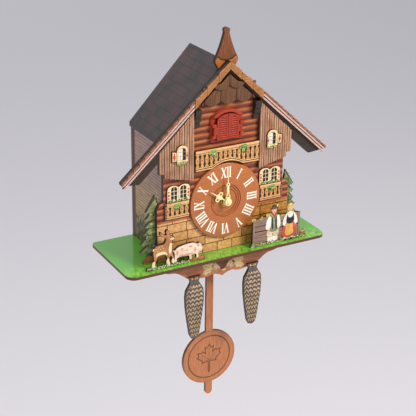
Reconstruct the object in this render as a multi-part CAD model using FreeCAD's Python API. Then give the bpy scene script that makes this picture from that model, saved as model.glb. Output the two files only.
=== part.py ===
import FreeCAD, Part
import math
import os

# A wall cuckoo clock in the shape of a flat-layered wooden chalet, run by a battery movement.
# Lengths are in millimetres. X is to the right, the front faces -Y, Y = 0 is the wall, +Z is up.
# Heights are counted from the top of the base plate. On export the whole clock is lowered, so
# that the origin is the middle of the hole that hangs it on the wall.

os.makedirs("parts", exist_ok=True)
Vec = FreeCAD.Vector

# ---- driving dimensions ----
hang_height = 150.0        # wall hole above the base plate
hang_hole_radius = 4.0

plate_width = 214.8
front_margin = 17.2        # plate in front of the facade
plate_thick = 3.0
plate_front_radius = 9.0
plate_rear_radius = 5.0

case_width = 125.6         # over both side walls
wall_thick = 4.0
wall_height = 118.7        # outer edge of a side wall
facade_depth = 70.2        # wall plane to the front of the facade board
facade_thick = 4.0
facade_lap = 1.3           # facade past each side wall
foot_lap = 6.5             # foot past the facade's upper sides
shoulder_low = 51.0
shoulder_high = 60.5
back_thick = 4.0

ridge_drop = 1.5           # rear ridge under the front roof's peak
rear_roof_thick = 3.0
rear_overhang = 1.4

roof_slope = 0.914         # front roof's fall per unit of width
eave_reach = 38.1          # tip of an eave past the side boards
trim_thick = 4.5           # layer on the facade: eave boards, side boards, gable
strip_thick = 2.6
shingle_thick = 3.6

dial_radius = 37.5
dial_height = 51.2
dial_thick = 3.0
dial_recess_radius = 14.0
dial_recess_depth = 0.9

side_board_inner = 34.5
side_board_lap = 5.8       # side boards past the facade's upper sides
side_board_count = 7

balcony_half = 33.6
balcony_gap = 3.1          # over the dial
balcony_arch_rise = 5.1
balcony_tall = 19.6
balcony_arch_half = 16.5
balcony_thick = 2.2
ledge_thick = 2.6
ledge_depth = 3.4

door_above = 4.7           # over the balcony
door_half = 16.7           # moulded frame
door_tall = 21.0           # upright part of the frame
door_rise = 9.0
doorway_half = 11.6
doorway_sill = 2.2
doorway_rise = 7.0
gable_above = 5.4          # shingles over the door frame
gable_tall = 40.6          # from the shingles to the peak
frame_thick = 2.0
lug_depth = 4.0
hood_depth = 3.0
lug_height = 2.6
shutter_thick = 1.6
shutter_pin_x = 13.9
leaf_offset = 2.5          # edge of a leaf from its pin's axis, so that it clears the lugs
shutter_pin_radius = 0.7

bird_travel = 26.0
rack_module = 0.8
pinion_teeth = 12

shaft_angle = math.radians(25)    # pressure angle of every toothed part
minute_teeth = 12
reverse_teeth = 36
reverse_pinion_teeth = 10
hour_teeth = 40
setting_teeth = 12
train_module = 0.5
case_half = 28.0           # movement, square
movement_thick = 16.0
movement_wall = 1.5

pendulum_behind = 6.7      # middle of the pendulum behind the movement
pivot_height = 40.0
pendulum_thick = 3.0
bob_radius = 30.0
bob_height = -133.0
strip_width = 7.8
swing = 8.0                # degrees each way

cone_x = 32.3
cone_top = -21.3
cone_length = 68.2
cone_half = 10.4
cone_thick = 3.0

battery_radius = 7.1
battery_length = 49.5

# ---- fits ----
running = 0.05             # radial, a pin in its hole
slide_gap = 0.3            # between faces that slide past each other
part_gap = 0.5             # round a door or a board that is let in
backlash = 0.12

# ---- levels worked out from these ----
face_y = -facade_depth
facade_back_y = face_y + facade_thick
trim_y = face_y - trim_thick
plate_depth = facade_depth + front_margin
case_half_width = case_width / 2
inner_half = case_half_width - wall_thick
facade_half = case_half_width + facade_lap
foot_half = facade_half + foot_lap
side_board_outer = facade_half + side_board_lap
eave_half = side_board_outer + eave_reach
balcony_arch = dial_height + dial_radius + balcony_gap
balcony_bottom = balcony_arch - balcony_arch_rise
balcony_top = balcony_bottom + balcony_tall
door_bottom = balcony_top + door_above
door_spring = door_bottom + door_tall
doorway_bottom = door_bottom + doorway_sill
doorway_spring = door_spring - 1.0
gable_bottom = door_spring + door_rise + gable_above
peak_height = gable_bottom + gable_tall
ridge_height = peak_height - ridge_drop
rear_slope = (ridge_height - wall_height) / case_half_width
movement_back_y = facade_back_y + movement_thick
pendulum_depth = -movement_back_y - pendulum_behind


def export(node, shape):
    """Lower a finished piece to the hanging hole's level and write it."""
    solid = shape.copy()
    solid.translate(Vec(0, 0, -hang_height))
    solid.exportStep("parts/" + node + ".step")
    print(node, len(solid.Solids), round(solid.Volume, 1))


def box(x0, x1, y0, y1, z0, z1):
    return Part.makeBox(x1 - x0, y1 - y0, z1 - z0, Vec(x0, y0, z0))


def rod(radius, start, end):
    """A round bar from one point to another."""
    base = Vec(*start)
    along = Vec(*end) - base
    return Part.makeCylinder(radius, along.Length, base, along)


def rod_y(radius, x, z, y0, y1):
    return rod(radius, (x, y0, z), (x, y1, z))


def outline(start, *steps):
    """A closed wire in the XZ plane. One point is a line, two an arc, three or more a spline."""
    edges = []
    here = Vec(start[0], 0, start[1])
    for step in steps + ([start],):
        points = [Vec(x, 0, z) for x, z in step]
        if (points[-1] - here).Length < 1e-7:
            continue
        if len(points) == 1:
            edges.append(Part.makeLine(here, points[0]))
        elif len(points) == 2:
            edges.append(Part.Arc(here, points[0], points[1]).toShape())
        else:
            curve = Part.BSplineCurve()
            curve.interpolate([here] + points)
            edges.append(curve.toShape())
        here = points[-1]
    return Part.Wire(edges)


def board(wire, back_y, thick):
    """A flat board whose back lies at back_y and whose front is nearer the viewer."""
    solid = Part.Face(wire).extrude(Vec(0, -thick, 0))
    solid.translate(Vec(0, back_y, 0))
    return solid


def polygon_board(points, back_y, thick):
    return board(outline(points[0], *[[p] for p in points[1:]]), back_y, thick)


def mirrored(shape):
    return shape.mirror(Vec(0, 0, 0), Vec(1, 0, 0))


def joined(shapes):
    solid = shapes[0]
    if len(shapes) > 1:
        solid = solid.fuse(shapes[1:])
    return solid.removeSplitter()


def pair(shape):
    return Part.makeCompound([shape, mirrored(shape)])


def roof_line(x, below=0.0):
    """Height of the front roof's top edge at x, less a vertical distance."""
    return peak_height - roof_slope * abs(x) - below


def rear_line(x, below=0.0):
    return ridge_height - rear_slope * abs(x) - below


def gear(teeth, module, x, z, y_front, width, tooth_at):
    """An involute gear about an axis along Y, with a tooth pointing at an angle in the XZ plane."""
    pitch = module * teeth / 2
    base = pitch * math.cos(shaft_angle)
    tip = pitch + 0.85 * module
    root = pitch - 1.1 * module
    half = math.pi / (2 * teeth) - backlash / (2 * pitch)
    involute = math.tan(shaft_angle) - shaft_angle
    low = max(base, root)
    points = []
    for index in range(teeth):
        middle = tooth_at + index * 2 * math.pi / teeth
        flank = []
        for part in range(4):
            radius = low + (tip - low) * part / 3
            pressure = math.acos(min(1.0, base / radius))
            flank.append((radius, half + involute - (math.tan(pressure) - pressure)))
        if root < low:
            flank.insert(0, (root, flank[0][1]))
        rising = [(radius, middle - angle) for radius, angle in flank]
        falling = [(radius, middle + angle) for radius, angle in reversed(flank)]
        points += rising + falling
    corners = [(x + radius * math.cos(angle), z + radius * math.sin(angle)) for radius, angle in points]
    return polygon_board(corners, y_front + width, width)


# ---- the house ----
def base_plate():
    half = plate_width / 2
    front = Part.makeBox(plate_width, plate_depth, plate_thick, Vec(-half, -plate_depth, -plate_thick))
    upright = [e for e in front.Edges if abs(e.Vertexes[0].Z - e.Vertexes[1].Z) > 1]
    front_edges = [e for e in upright if e.Vertexes[0].Y < -plate_depth / 2]
    plate = front.makeFillet(plate_front_radius, front_edges)
    rear_edges = [e for e in plate.Edges if abs(e.Vertexes[0].Y) < 1e-6 and abs(e.Vertexes[-1].Y) < 1e-6
                  and abs(e.Vertexes[0].Z - e.Vertexes[-1].Z) > 1]
    plate = plate.makeFillet(plate_rear_radius, rear_edges)
    plate = plate.cut(pendulum_slot())
    return plate.cut(Part.makeCompound(speaker_holes()))


def slot_half():
    reach = (pivot_height + plate_thick) * math.tan(math.radians(swing))
    return reach + strip_width / 2 / math.cos(math.radians(swing)) + 2.0


def pendulum_slot():
    half_thick = pendulum_thick / 2 + 1.5
    return box(-slot_half(), slot_half(), -pendulum_depth - half_thick, -pendulum_depth + half_thick,
               -plate_thick - 1, 1)


def side_wall():
    """The left wall. Its top is cut to the slope of the rear roof."""
    top_inner = rear_line(inner_half, rear_roof_drop())
    top_outer = rear_line(case_half_width, rear_roof_drop())
    corners = [(-case_half_width, 0), (-inner_half, 0), (-inner_half, top_inner),
               (-case_half_width, top_outer)]
    return polygon_board(corners, 0, facade_depth - facade_thick)


def rear_roof_drop():
    return rear_roof_thick * math.sqrt(1 + rear_slope ** 2)


def roof_panel():
    """The left panel of the rear roof. The two panels meet in a mitre at the ridge."""
    eave = case_half_width + rear_overhang
    drop = rear_roof_drop()
    corners = [(0, rear_line(0)), (0, rear_line(0, drop)), (-eave, rear_line(eave, drop)),
               (-eave, rear_line(eave))]
    return polygon_board(corners, 0, facade_depth - facade_thick)


def gable_profile(half, drop):
    """Corners of a house front: upright sides and the rear roof's slope."""
    return [(-half, 0), (half, 0), (half, rear_line(half, drop)), (0, rear_line(0, drop)),
            (-half, rear_line(half, drop))]


hatch_half = 41.0
hatch_bottom = 14.0
hatch_tall = 108.0
hinge_radius = 2.0         # the hatch's rounded hinge edge, half its thickness
hinge_pin_radius = 0.8
hinge_pin_length = 9.0
magnet_radius = 3.0
magnet_thick = 1.6
hinge_x = hatch_half - hinge_radius
hatch_top = hatch_bottom + hatch_tall


def back_board():
    solid = polygon_board(gable_profile(inner_half, rear_roof_drop()), 0, back_thick)
    solid = solid.cut(rod_y(hang_hole_radius, 0, hang_height, -back_thick - 1, 1))
    opening = box(-hatch_half - part_gap, hatch_half + part_gap, -back_thick - 1, 1, hatch_bottom,
                  hatch_top)
    solid = solid.cut(opening)
    solid = solid.cut(hatch_pins())
    return solid.cut(catch_magnet(hatch_half + part_gap + 5.0))


def hatch_pins():
    """Two steel pins, one let into the back board above the hatch and one below."""
    y = -hinge_radius
    bury = hinge_pin_length - 5.0
    low = rod(hinge_pin_radius, (hinge_x, y, hatch_bottom - bury), (hinge_x, y, hatch_bottom + 5.0))
    high = rod(hinge_pin_radius, (hinge_x, y, hatch_top - 5.0), (hinge_x, y, hatch_top + bury))
    return Part.makeCompound([low, high])


def catch_magnet(distance):
    middle = (hatch_bottom + hatch_top) / 2
    return rod_y(magnet_radius, -distance, middle, -back_thick, -back_thick + magnet_thick)


def back_hatch():
    thick = 2 * hinge_radius
    low = hatch_bottom + part_gap
    high = hatch_top - part_gap
    panel = box(-hatch_half, hinge_x, -thick, 0, low, high)
    edge = rod(hinge_radius, (hinge_x, -hinge_radius, low), (hinge_x, -hinge_radius, high))
    solid = joined([panel, edge])
    notch = rod_y(8.0, -hatch_half - 2.0, (hatch_bottom + hatch_top) / 2 + 24.0, -1.6, 1)
    solid = solid.cut(notch)
    bore = rod(hinge_pin_radius + running, (hinge_x, -hinge_radius, low - 1),
               (hinge_x, -hinge_radius, low + 5.2))
    other = rod(hinge_pin_radius + running, (hinge_x, -hinge_radius, high - 5.2),
                (hinge_x, -hinge_radius, high + 1))
    return solid.cut([bore, other])


def facade_wire():
    """Straight upper sides, rounded shoulders, and a wider foot. The upper corners follow the front
    roof, and reach at least halfway up the ends of the rear roof behind them."""
    drop = facade_below
    top = max(roof_line(facade_half, drop), rear_line(facade_half, rear_roof_drop() / 2))
    flat_half = finial_foot_half
    flat_top = roof_line(flat_half, drop)
    bulge = (facade_half + (foot_half - facade_half) * 0.78,
             shoulder_low + (shoulder_high - shoulder_low) * 0.62)
    left_bulge = (-bulge[0], bulge[1])
    return outline((-foot_half, 0), [(foot_half, 0)], [(foot_half, shoulder_low)],
                   [bulge, (facade_half, shoulder_high)], [(facade_half, top)],
                   [(flat_half, flat_top)], [(-flat_half, flat_top)], [(-facade_half, top)],
                   [(-facade_half, shoulder_high)], [left_bulge, (-foot_half, shoulder_low)])


finial_foot_half = 5.6
facade_below = 7.0         # facade under the front roof's top edge


def doorway_wire(grow=0.0):
    half = doorway_half + grow
    apex = doorway_spring + doorway_rise + grow
    bow = (half * 0.7071, doorway_spring + (doorway_rise + grow) * 0.7071)
    return outline((-half, doorway_bottom - grow), [(half, doorway_bottom - grow)],
                   [(half, doorway_spring)],
                   [bow, (0, apex)], [(-bow[0], bow[1]), (-half, doorway_spring)])


bush_radius = 4.0


def facade_board():
    solid = board(facade_wire(), facade_back_y, facade_thick)
    solid = solid.cut(board(doorway_wire(), facade_back_y + 1, facade_thick + 2))
    return solid.cut(rod_y(bush_radius + 0.3, 0, dial_height, face_y - 1, facade_back_y + 1))


# ---- the front roof ----
eave_low = 20.5            # depth of an eave board, measured straight down, past the side boards
eave_tip_z = roof_line(eave_half, 4.0)
side_top_inner = roof_line(side_board_inner, 11.0)
side_top_outer = roof_line(side_board_outer, 12.6)
gable_top_below = 11.6     # gable board under the front roof's top edge


def eave_board():
    """The left half of the front roof's board, with a mitre at the peak and a cut-off tail."""
    step_x = side_board_outer + part_gap
    top_tip = (-eave_half, roof_line(eave_half))
    tail = (-eave_half + 0.6, roof_line(eave_half, 2.2))
    low_x = (peak_height - eave_low - eave_tip_z) / roof_slope
    corners = [(0, peak_height), top_tip, tail, (-eave_half + 8.0, eave_tip_z + 0.8),
               (-low_x, eave_tip_z), (-step_x, roof_line(step_x, eave_low)),
               (-step_x, side_top_outer + part_gap), (-side_board_inner, side_top_inner + part_gap),
               (-side_board_inner, roof_line(side_board_inner, 9.8)), (0, roof_line(0, 9.8))]
    return polygon_board(corners, face_y, trim_thick)


strip_start = 35.5


def eave_strips():
    """Two thin mouldings that run down the left slope."""
    strips = []
    for top, bottom in ((1.8, 4.0), (5.2, 7.4)):
        corners = [(-strip_start, roof_line(strip_start, top)),
                   (-eave_half + 0.8, roof_line(eave_half - 0.8, top)),
                   (-eave_half + 2.4, roof_line(eave_half - 2.4, bottom)),
                   (-strip_start, roof_line(strip_start, bottom))]
        strips.append(polygon_board(corners, trim_y, strip_thick))
    return strips


verge_big = 3
verge_small = 6
verge_big_depth = 9.4
verge_small_depth = 3.4
verge_proud = 1.7


def verge_shingles():
    """Stepped shingles along the left slope: deep ones on the gable, narrow ones down to the tip."""
    pieces = []
    for index in range(verge_big + verge_small):
        if index < verge_big:
            start = index * strip_start / verge_big
            end = (index + 1) * strip_start / verge_big
            depth = verge_big_depth
        else:
            run = (eave_half - strip_start) / verge_small
            start = strip_start + (index - verge_big) * run
            end = start + run
            depth = verge_small_depth
        corners = [(-start, roof_line(start, -verge_proud + 1.0)), (-end, roof_line(end, -verge_proud)),
                   (-end, roof_line(end, depth - verge_proud)),
                   (-start, roof_line(start, depth - verge_proud - 0.6))]
        thick = shingle_thick if index < verge_big else strip_thick + 0.6
        pieces.append(polygon_board(corners, trim_y, thick))
    return joined(pieces)


scallop = 16.5
row_step = 14.4
row_bottom = (gable_bottom, gable_bottom + row_step)
row_thick = (1.5, 1.5)


def scallop_row(bottom, middle_joint, back_y, thick):
    """A row of round-ended shingles, trimmed to the gable. A joint or a shingle is in the middle."""
    low = bottom + 4.2
    tall = 17.0
    shift = 0.5 if middle_joint else 0.0
    pieces = []
    for index in range(-4, 5):
        middle = (index + shift) * scallop
        half = scallop / 2
        wire = outline((middle - half, low), [(middle, bottom), (middle + half, low)],
                       [(middle + half, low + tall)], [(middle - half, low + tall)])
        pieces.append(board(wire, back_y, thick))
    reach = side_board_inner - 7.0
    trim = [(-reach, bottom - 1), (reach, bottom - 1), (reach, roof_line(reach, gable_top_below)),
            (0, roof_line(0, gable_top_below)), (-reach, roof_line(reach, gable_top_below))]
    return joined(pieces).common(polygon_board(trim, back_y + 1, thick + 2))


def gable_shingles():
    """A backing triangle with two overlapping rows of shingles, glued up as one board."""
    reach = side_board_inner - 7.0
    back_low = row_bottom[0] + 4.4
    triangle = [(-reach, back_low), (reach, back_low), (reach, roof_line(reach, gable_top_below)),
                (0, roof_line(0, gable_top_below)), (-reach, roof_line(reach, gable_top_below))]
    backing = polygon_board(triangle, face_y, 3.4)
    lower = scallop_row(row_bottom[0], False, face_y - 3.4, row_thick[0])
    upper = scallop_row(row_bottom[1], True, face_y - 3.4 - row_thick[0], row_thick[1])
    return joined([backing, lower, upper])


def ridge_finial():
    """A flat bell-shaped spire on the peak of the facade."""
    foot = roof_line(finial_foot_half, facade_below)
    wire = outline((-finial_foot_half, foot), [(finial_foot_half, foot)], [(11.2, foot + 9.1)],
                   [(11.75, foot + 11.1), (11.4, foot + 13.1)],
                   [(8.0, foot + 20.1), (4.9, foot + 28.1), (2.3, foot + 36.9)],
                   [(2.9, foot + 37.7)], [(2.9, foot + 39.7)],
                   [(0, foot + 41.0), (-2.9, foot + 39.7)], [(-2.9, foot + 37.7)], [(-2.3, foot + 36.9)],
                   [(-4.9, foot + 28.1), (-8.0, foot + 20.1), (-11.4, foot + 13.1)],
                   [(-11.75, foot + 11.1), (-11.2, foot + 9.1)])
    return board(wire, facade_back_y, facade_thick)


def bracket():
    """A stepped corbel under the left end of the gable."""
    left = -side_board_inner + 0.2
    right = left + 6.0
    top = side_top_inner + 1.2
    lowest = box(left, right, face_y - 2.6, face_y, top - 17.7, top - 12.3)
    middle = box(left, right, face_y - 4.6, face_y, top - 12.3, top - 6.7)
    upper = box(left, right, face_y - 6.6, face_y, top - 6.7, top)
    return joined([lowest, middle, upper])


# ---- trim on the facade ----
lower_balcony_half = 12.6
lower_balcony_tall = 15.8
lower_balcony_top = dial_height + 7.6
lower_balcony_bottom = lower_balcony_top - lower_balcony_tall
lower_balcony_thick = 2.0
balcony_x = dial_radius + lower_balcony_half + 0.7
lower_window_half = 12.1
lower_window_tall = 17.0
lower_window_thick = 1.5
lower_x = dial_radius + lower_window_half - 0.6
lower_bottom = lower_balcony_top + 0.2
lower_top = lower_bottom + lower_window_tall
side_board_low = lower_top + 2.0


def side_boards():
    """The left panel of upright boards, each a little lower than its outer neighbour."""
    width = (side_board_outer - side_board_inner) / side_board_count
    slope = (side_top_inner - side_top_outer) / (side_board_outer - side_board_inner)
    pieces = []
    for index in range(side_board_count):
        inner = side_board_inner + index * width
        outer = inner + width
        bottom = side_board_low + index * 1.3 + (3.4 if index == side_board_count - 1 else 0.0)
        thick = trim_thick if index % 2 == 0 else trim_thick - 0.6
        top_inner = side_top_inner - slope * (inner - side_board_inner)
        top_outer = side_top_inner - slope * (outer - side_board_inner)
        corners = [(-inner, bottom), (-inner, top_inner), (-outer, top_outer), (-outer, bottom)]
        pieces.append(polygon_board(corners, face_y, thick))
    return joined(pieces)


attic_x = 47.6
attic_tall = 19.8
attic_bottom = side_board_low + 17.4
attic_top = attic_bottom + attic_tall
window_thick = 1.8


def attic_window():
    """Left attic window: an arched frame, one open shutter and a flower box."""
    half = 5.9
    spring = attic_top - 5.0
    frame = outline((-attic_x - half, attic_bottom + 3), [(-attic_x + half, attic_bottom + 3)],
                    [(-attic_x + half, spring)], [(-attic_x, attic_top), (-attic_x - half, spring)])
    shutter = [(-attic_x - half + 0.4, attic_bottom + 4.4), (-attic_x - half - 4.9, attic_bottom + 4.4),
               (-attic_x - half - 4.9, spring - 0.6), (-attic_x - half + 0.4, spring + 1.2)]
    flowers = outline((-attic_x - 5.4, attic_bottom + 3.4),
                      [(-attic_x, attic_bottom), (-attic_x + 5.4, attic_bottom + 3.4)],
                      [(-attic_x + 4.8, attic_bottom + 4.6)], [(-attic_x - 4.8, attic_bottom + 4.6)])
    solid = joined([board(frame, trim_y, window_thick), polygon_board(shutter, trim_y, window_thick),
                    board(flowers, trim_y, window_thick)])
    pane = box(-attic_x - 3.4, -attic_x + 3.4, trim_y - window_thick - 1, trim_y + 1, attic_bottom + 5.4,
               spring + 1.6)
    return solid.cut(pane)


def lower_window():
    """A pair of arched casements in one frame. Each casement has two by three panes."""
    left = -lower_x - lower_window_half
    right = -lower_x + lower_window_half
    shoulder = lower_top - 4.2
    wire = outline((left, lower_bottom), [(right, lower_bottom)], [(right, shoulder)],
                   [(-lower_x + lower_window_half / 2, lower_top), (-lower_x, shoulder + 2.2)],
                   [(-lower_x - lower_window_half / 2, lower_top), (left, shoulder)])
    solid = board(wire, face_y, lower_window_thick)
    panes = []
    for casement in (-1, 1):
        for column in (-1, 1):
            for row in range(3):
                x = -lower_x + casement * 4.6 + column * 1.75
                z = lower_bottom + 2.6 + row * 4.2
                panes.append(box(x - 1.35, x + 1.35, face_y - 3, face_y + 1, z, z + 3.5))
    return solid.cut(panes)


def lower_balcony():
    left = -balcony_x - lower_balcony_half
    right = -balcony_x + lower_balcony_half
    solid = box(left, right, face_y - lower_balcony_thick, face_y, lower_balcony_bottom, lower_balcony_top)
    slits = []
    for index in range(4):
        x = right - 4.4 - index * 4.9
        slits.append(box(x - 0.7, x + 0.7, face_y - 4, face_y + 1, lower_balcony_bottom + 3.4,
                         lower_balcony_top - 4.0))
    return solid.cut(slits)


def centre_balcony():
    """The balcony under the cuckoo door. Its lower edge arches over the dial."""
    side = (balcony_arch_half * 0.55, balcony_arch - 1.2)
    wire = outline((-balcony_half, balcony_bottom), [(-balcony_arch_half, balcony_bottom)],
                   [(-side[0], side[1]), (0, balcony_arch), side, (balcony_arch_half, balcony_bottom)],
                   [(balcony_half, balcony_bottom)], [(balcony_half, balcony_top)],
                   [(-balcony_half, balcony_top)])
    solid = board(wire, face_y - ledge_depth, balcony_thick)
    slits = []
    count = 13
    for index in range(count):
        x = (index - (count - 1) / 2) * 5.0
        low = balcony_bottom + 3.2
        if abs(x) < balcony_arch_half:
            low = balcony_arch + 2.4
        slits.append(box(x - 0.6, x + 0.6, face_y - 8, face_y - 1, low, balcony_top - 4.4))
    return solid.cut(slits)


def balcony_ledge():
    """The floor strip that carries the balcony on the facade."""
    return box(-balcony_half, balcony_half, face_y - ledge_depth, face_y, balcony_top - 3.8,
               balcony_top - 3.8 + ledge_thick)


apron_thick = 3.0
apron_half = facade_half - 0.1
hook_pin_radius = 0.8
cone_gap = 0.8
cone_back_y = facade_back_y - apron_thick - cone_gap
cone_eye_z = cone_top - 1.7


def apron_board():
    """The board under the plate, with a wavy lower edge and holes for the cones' pins."""
    half = [(62.5, -12.4), (59.0, -14.2), (52.0, -15.2), (45.0, -18.8), (38.5, -24.0),
            (30.0, -25.2), (20.0, -27.0), (12.0, -25.2), (6.0, -26.2), (0.0, -29.2)]
    other = [(-x, z) for x, z in reversed(half)]
    wire = outline((apron_half, -plate_thick), [half[0]], half[1:5], half[5:8], half[8:],
                   other[1:3], other[3:6], other[6:], [(-apron_half, -plate_thick)])
    return board(wire, facade_back_y, apron_thick).cut(cone_hooks())


# ---- figures on the plate ----
def tree():
    """The left fir. Its trunk side is let in beside the case, behind the facade."""
    trunk = case_half_width + part_gap
    tips = [(17.2, 52.0), (17.6, 44.3), (18.0, 36.9), (20.0, 29.8), (22.6, 19.9), (23.8, 12.0)]
    notches = [12.6, 13.0, 14.4, 15.8, 16.6, 13.6]
    points = [(-trunk - 7.1, 67.6)]
    for (reach, z), notch in zip(tips, notches):
        points += [(-trunk - reach + 0.5, z), (-trunk - notch + 0.5, z - 1.6)]
    points += [(-trunk - 20.1, 0), (-trunk, 0), (-trunk, 30.0), (-trunk - 3.1, 46.0)]
    return polygon_board(points, facade_back_y + figure_thick, figure_thick)


figure_thick = 3.0
figure_y = face_y - 8.8    # back of the cut-out figures


def grass_strip(left, right, tall):
    """A strip of grass and flowers with a bumpy top edge."""
    count = int(round((right - left) / 5.0))
    width = (right - left) / count
    steps = [[(right, 0)], [(right, tall)]]
    for index in range(count):
        x = right - index * width
        steps.append([(x - width / 2, tall + 1.6), (x - width, tall)])
    return board(outline((left, 0), *steps), figure_y, figure_thick)


def animals_cutout():
    """A young deer and a pig in the grass, cut from one board."""
    deer = outline((-81.4, 0), [(-77.6, 0)], [(-77.2, 8.0), (-75.0, 12.6), (-71.0, 13.6)],
                   [(-67.8, 12.0)], [(-66.0, 0)], [(-57.6, 0)],
                   [(-59.6, 8.0), (-61.4, 15.0), (-60.9, 21.0), (-61.6, 26.6)],
                   [(-59.6, 27.0), (-58.0, 28.6)], [(-60.0, 31.4), (-62.6, 33.6)],
                   [(-63.6, 38.2), (-66.6, 37.8)], [(-66.6, 35.2)],
                   [(-70.8, 37.0), (-73.4, 35.6)], [(-71.4, 32.2), (-67.6, 30.4)],
                   [(-67.8, 27.0), (-68.4, 25.2), (-71.4, 24.6), (-76.0, 24.4), (-79.8, 21.6),
                    (-81.0, 17.0)],
                   [(-80.0, 9.0), (-80.6, 4.0), (-81.4, 0)])
    pig = outline((-58.6, 2.0), [(-54.0, 2.0)], [(-53.0, 6.6), (-48.0, 7.4), (-42.0, 7.0)],
                  [(-36.0, 6.6), (-31.0, 8.6), (-28.8, 10.2)], [(-28.0, 12.4)],
                  [(-29.6, 15.0), (-33.0, 18.6)],
                  [(-38.0, 19.8), (-44.0, 20.0), (-50.0, 19.4), (-56.0, 17.8)],
                  [(-59.8, 17.4), (-58.6, 13.4)], [(-57.4, 8.0), (-58.6, 2.0)])
    animals = [board(deer, figure_y, figure_thick), board(pig, figure_y, figure_thick)]
    grass = [grass_strip(-87.0, -60.0, 3.0), grass_strip(-60.0, -26.2, 4.4)]
    return joined(animals + grass)


def bench_couple_cutout():
    """A garden bench with two seated people, cut from one board."""
    bench = outline((25.4, 0), [(79.4, 0)], [(79.4, 27.0)], [(74.0, 28.6), (66.0, 28.0), (58.0, 29.4)],
                    [(50.0, 30.4), (42.0, 30.6), (34.0, 28.6), (29.4, 29.4)], [(26.0, 26.0)])
    man = outline((40.0, 4.0), [(54.0, 4.0)], [(55.0, 20.0)], [(55.0, 27.6), (52.6, 33.0)],
                  [(54.6, 36.4), (53.4, 39.6)], [(50.2, 42.8), (46.0, 39.0)], [(45.0, 35.0), (46.6, 32.0)],
                  [(42.0, 28.0), (40.4, 20.0)])
    woman = outline((58.6, 4.0), [(73.6, 4.0)], [(74.6, 18.0)], [(75.4, 27.0), (71.0, 31.6)],
                    [(72.8, 35.4), (69.6, 38.6)], [(65.4, 40.2), (63.0, 36.0)],
                    [(62.8, 33.0), (64.4, 31.4)], [(59.4, 27.0), (58.4, 18.0)])
    shapes = [board(wire, figure_y, figure_thick) for wire in (bench, man, woman)]
    return joined(shapes + [grass_strip(23.6, 85.6, 3.4)])


# ---- dial and cuckoo door ----
def dial():
    """A turned disc with a rounded rim and a shallow turned recess round the hands."""
    profile_radius = dial_radius
    disc = rod_y(profile_radius, 0, dial_height, face_y - dial_thick, face_y)
    rim = [edge for edge in disc.Edges if abs(edge.BoundBox.YMin - (face_y - dial_thick)) < 1e-3
           and edge.BoundBox.YLength < 1e-3]
    disc = disc.makeFillet(1.2, rim)
    disc = disc.cut(rod_y(dial_recess_radius, 0, dial_height, face_y - dial_thick - 1,
                          face_y - dial_thick + dial_recess_depth))
    return disc.cut(rod_y(bush_radius + 0.3, 0, dial_height, face_y - dial_thick - 1, face_y + 1))


def door_frame():
    """The moulded frame of the cuckoo door: a plate, a hood round the arch and four hinge lugs."""
    bow = (door_half * 0.7071, door_spring + door_rise * 0.7071)
    outer = outline((-door_half, door_bottom), [(door_half, door_bottom)], [(door_half, door_spring)],
                    [bow, (0, door_spring + door_rise)], [(-bow[0], bow[1]), (-door_half, door_spring)])
    plate = board(outer, face_y, frame_thick).cut(board(doorway_wire(), face_y + 1, frame_thick + 2))
    hood = board(outer, face_y - frame_thick, hood_depth)
    hood = hood.cut(board(doorway_wire(), face_y, 20))
    hood = hood.common(box(-40, 40, face_y - 20, face_y, doorway_spring + 2.8, 160))
    hood = hood.cut(box(-shutter_pin_x - 2, shutter_pin_x + 2, face_y - 20, face_y - frame_thick - 0.01,
                        0, doorway_spring + 2.9))
    lugs = []
    for low in lug_levels():
        for side in (-1, 1):
            near = side * (shutter_pin_x - 1.5)
            far = side * door_half
            lugs.append(box(min(near, far), max(near, far), face_y - frame_thick - lug_depth,
                            face_y - frame_thick, low, low + lug_height))
    solid = joined([plate, hood] + lugs)
    return solid.cut(shutter_pins())


shutter_pin_y = face_y - frame_thick - 2.5
leaf_low = doorway_bottom + slide_gap
leaf_high = doorway_spring - 0.4


def lug_levels():
    """Undersides of the lower and the upper lug."""
    return (leaf_low + 2.0, leaf_high - 2.0 - lug_height)


def shutter_pins():
    pins = []
    for side in (-1, 1):
        pins.append(rod(shutter_pin_radius, (side * shutter_pin_x, shutter_pin_y, lug_levels()[0]),
                        (side * shutter_pin_x, shutter_pin_y, lug_levels()[1] + lug_height)))
    return Part.makeCompound(pins)


def shutter():
    """The left leaf: a louvred panel with a knuckle between the lugs."""
    half = doorway_half
    edge = -shutter_pin_x + leaf_offset
    inner = -slide_gap / 2
    back = shutter_pin_y + shutter_thick / 2
    bow_x = -half * 0.62
    rise = doorway_rise * math.sqrt(1 - 0.62 ** 2)
    wire = outline((edge, leaf_low), [(inner, leaf_low)], [(inner, doorway_spring + doorway_rise - 0.6)],
                   [(bow_x, doorway_spring + rise - 0.8), (edge + 0.4, doorway_spring + 0.4)],
                   [(edge, leaf_high)])
    leaf = board(wire, back, shutter_thick)
    louvres = []
    for index in range(9):
        z = leaf_low + 1.8 + index * 2.0
        louvres.append(box(-half + 1.6, inner - 1.4, back - shutter_thick - 1,
                           back - shutter_thick + 0.45, z, z + 0.8))
    leaf = leaf.cut(louvres)
    low, high = lug_levels()
    low_end = low + lug_height + slide_gap
    high_end = high - slide_gap
    knuckle = rod(1.25, (-shutter_pin_x, shutter_pin_y, low_end), (-shutter_pin_x, shutter_pin_y, high_end))
    web = box(-shutter_pin_x, edge + 0.1, back - shutter_thick, back, low_end, high_end)
    solid = joined([leaf, knuckle, web])
    bore = rod(shutter_pin_radius + running, (-shutter_pin_x, shutter_pin_y, low_end - 1),
               (-shutter_pin_x, shutter_pin_y, high_end + 1))
    return solid.cut(bore)


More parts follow.
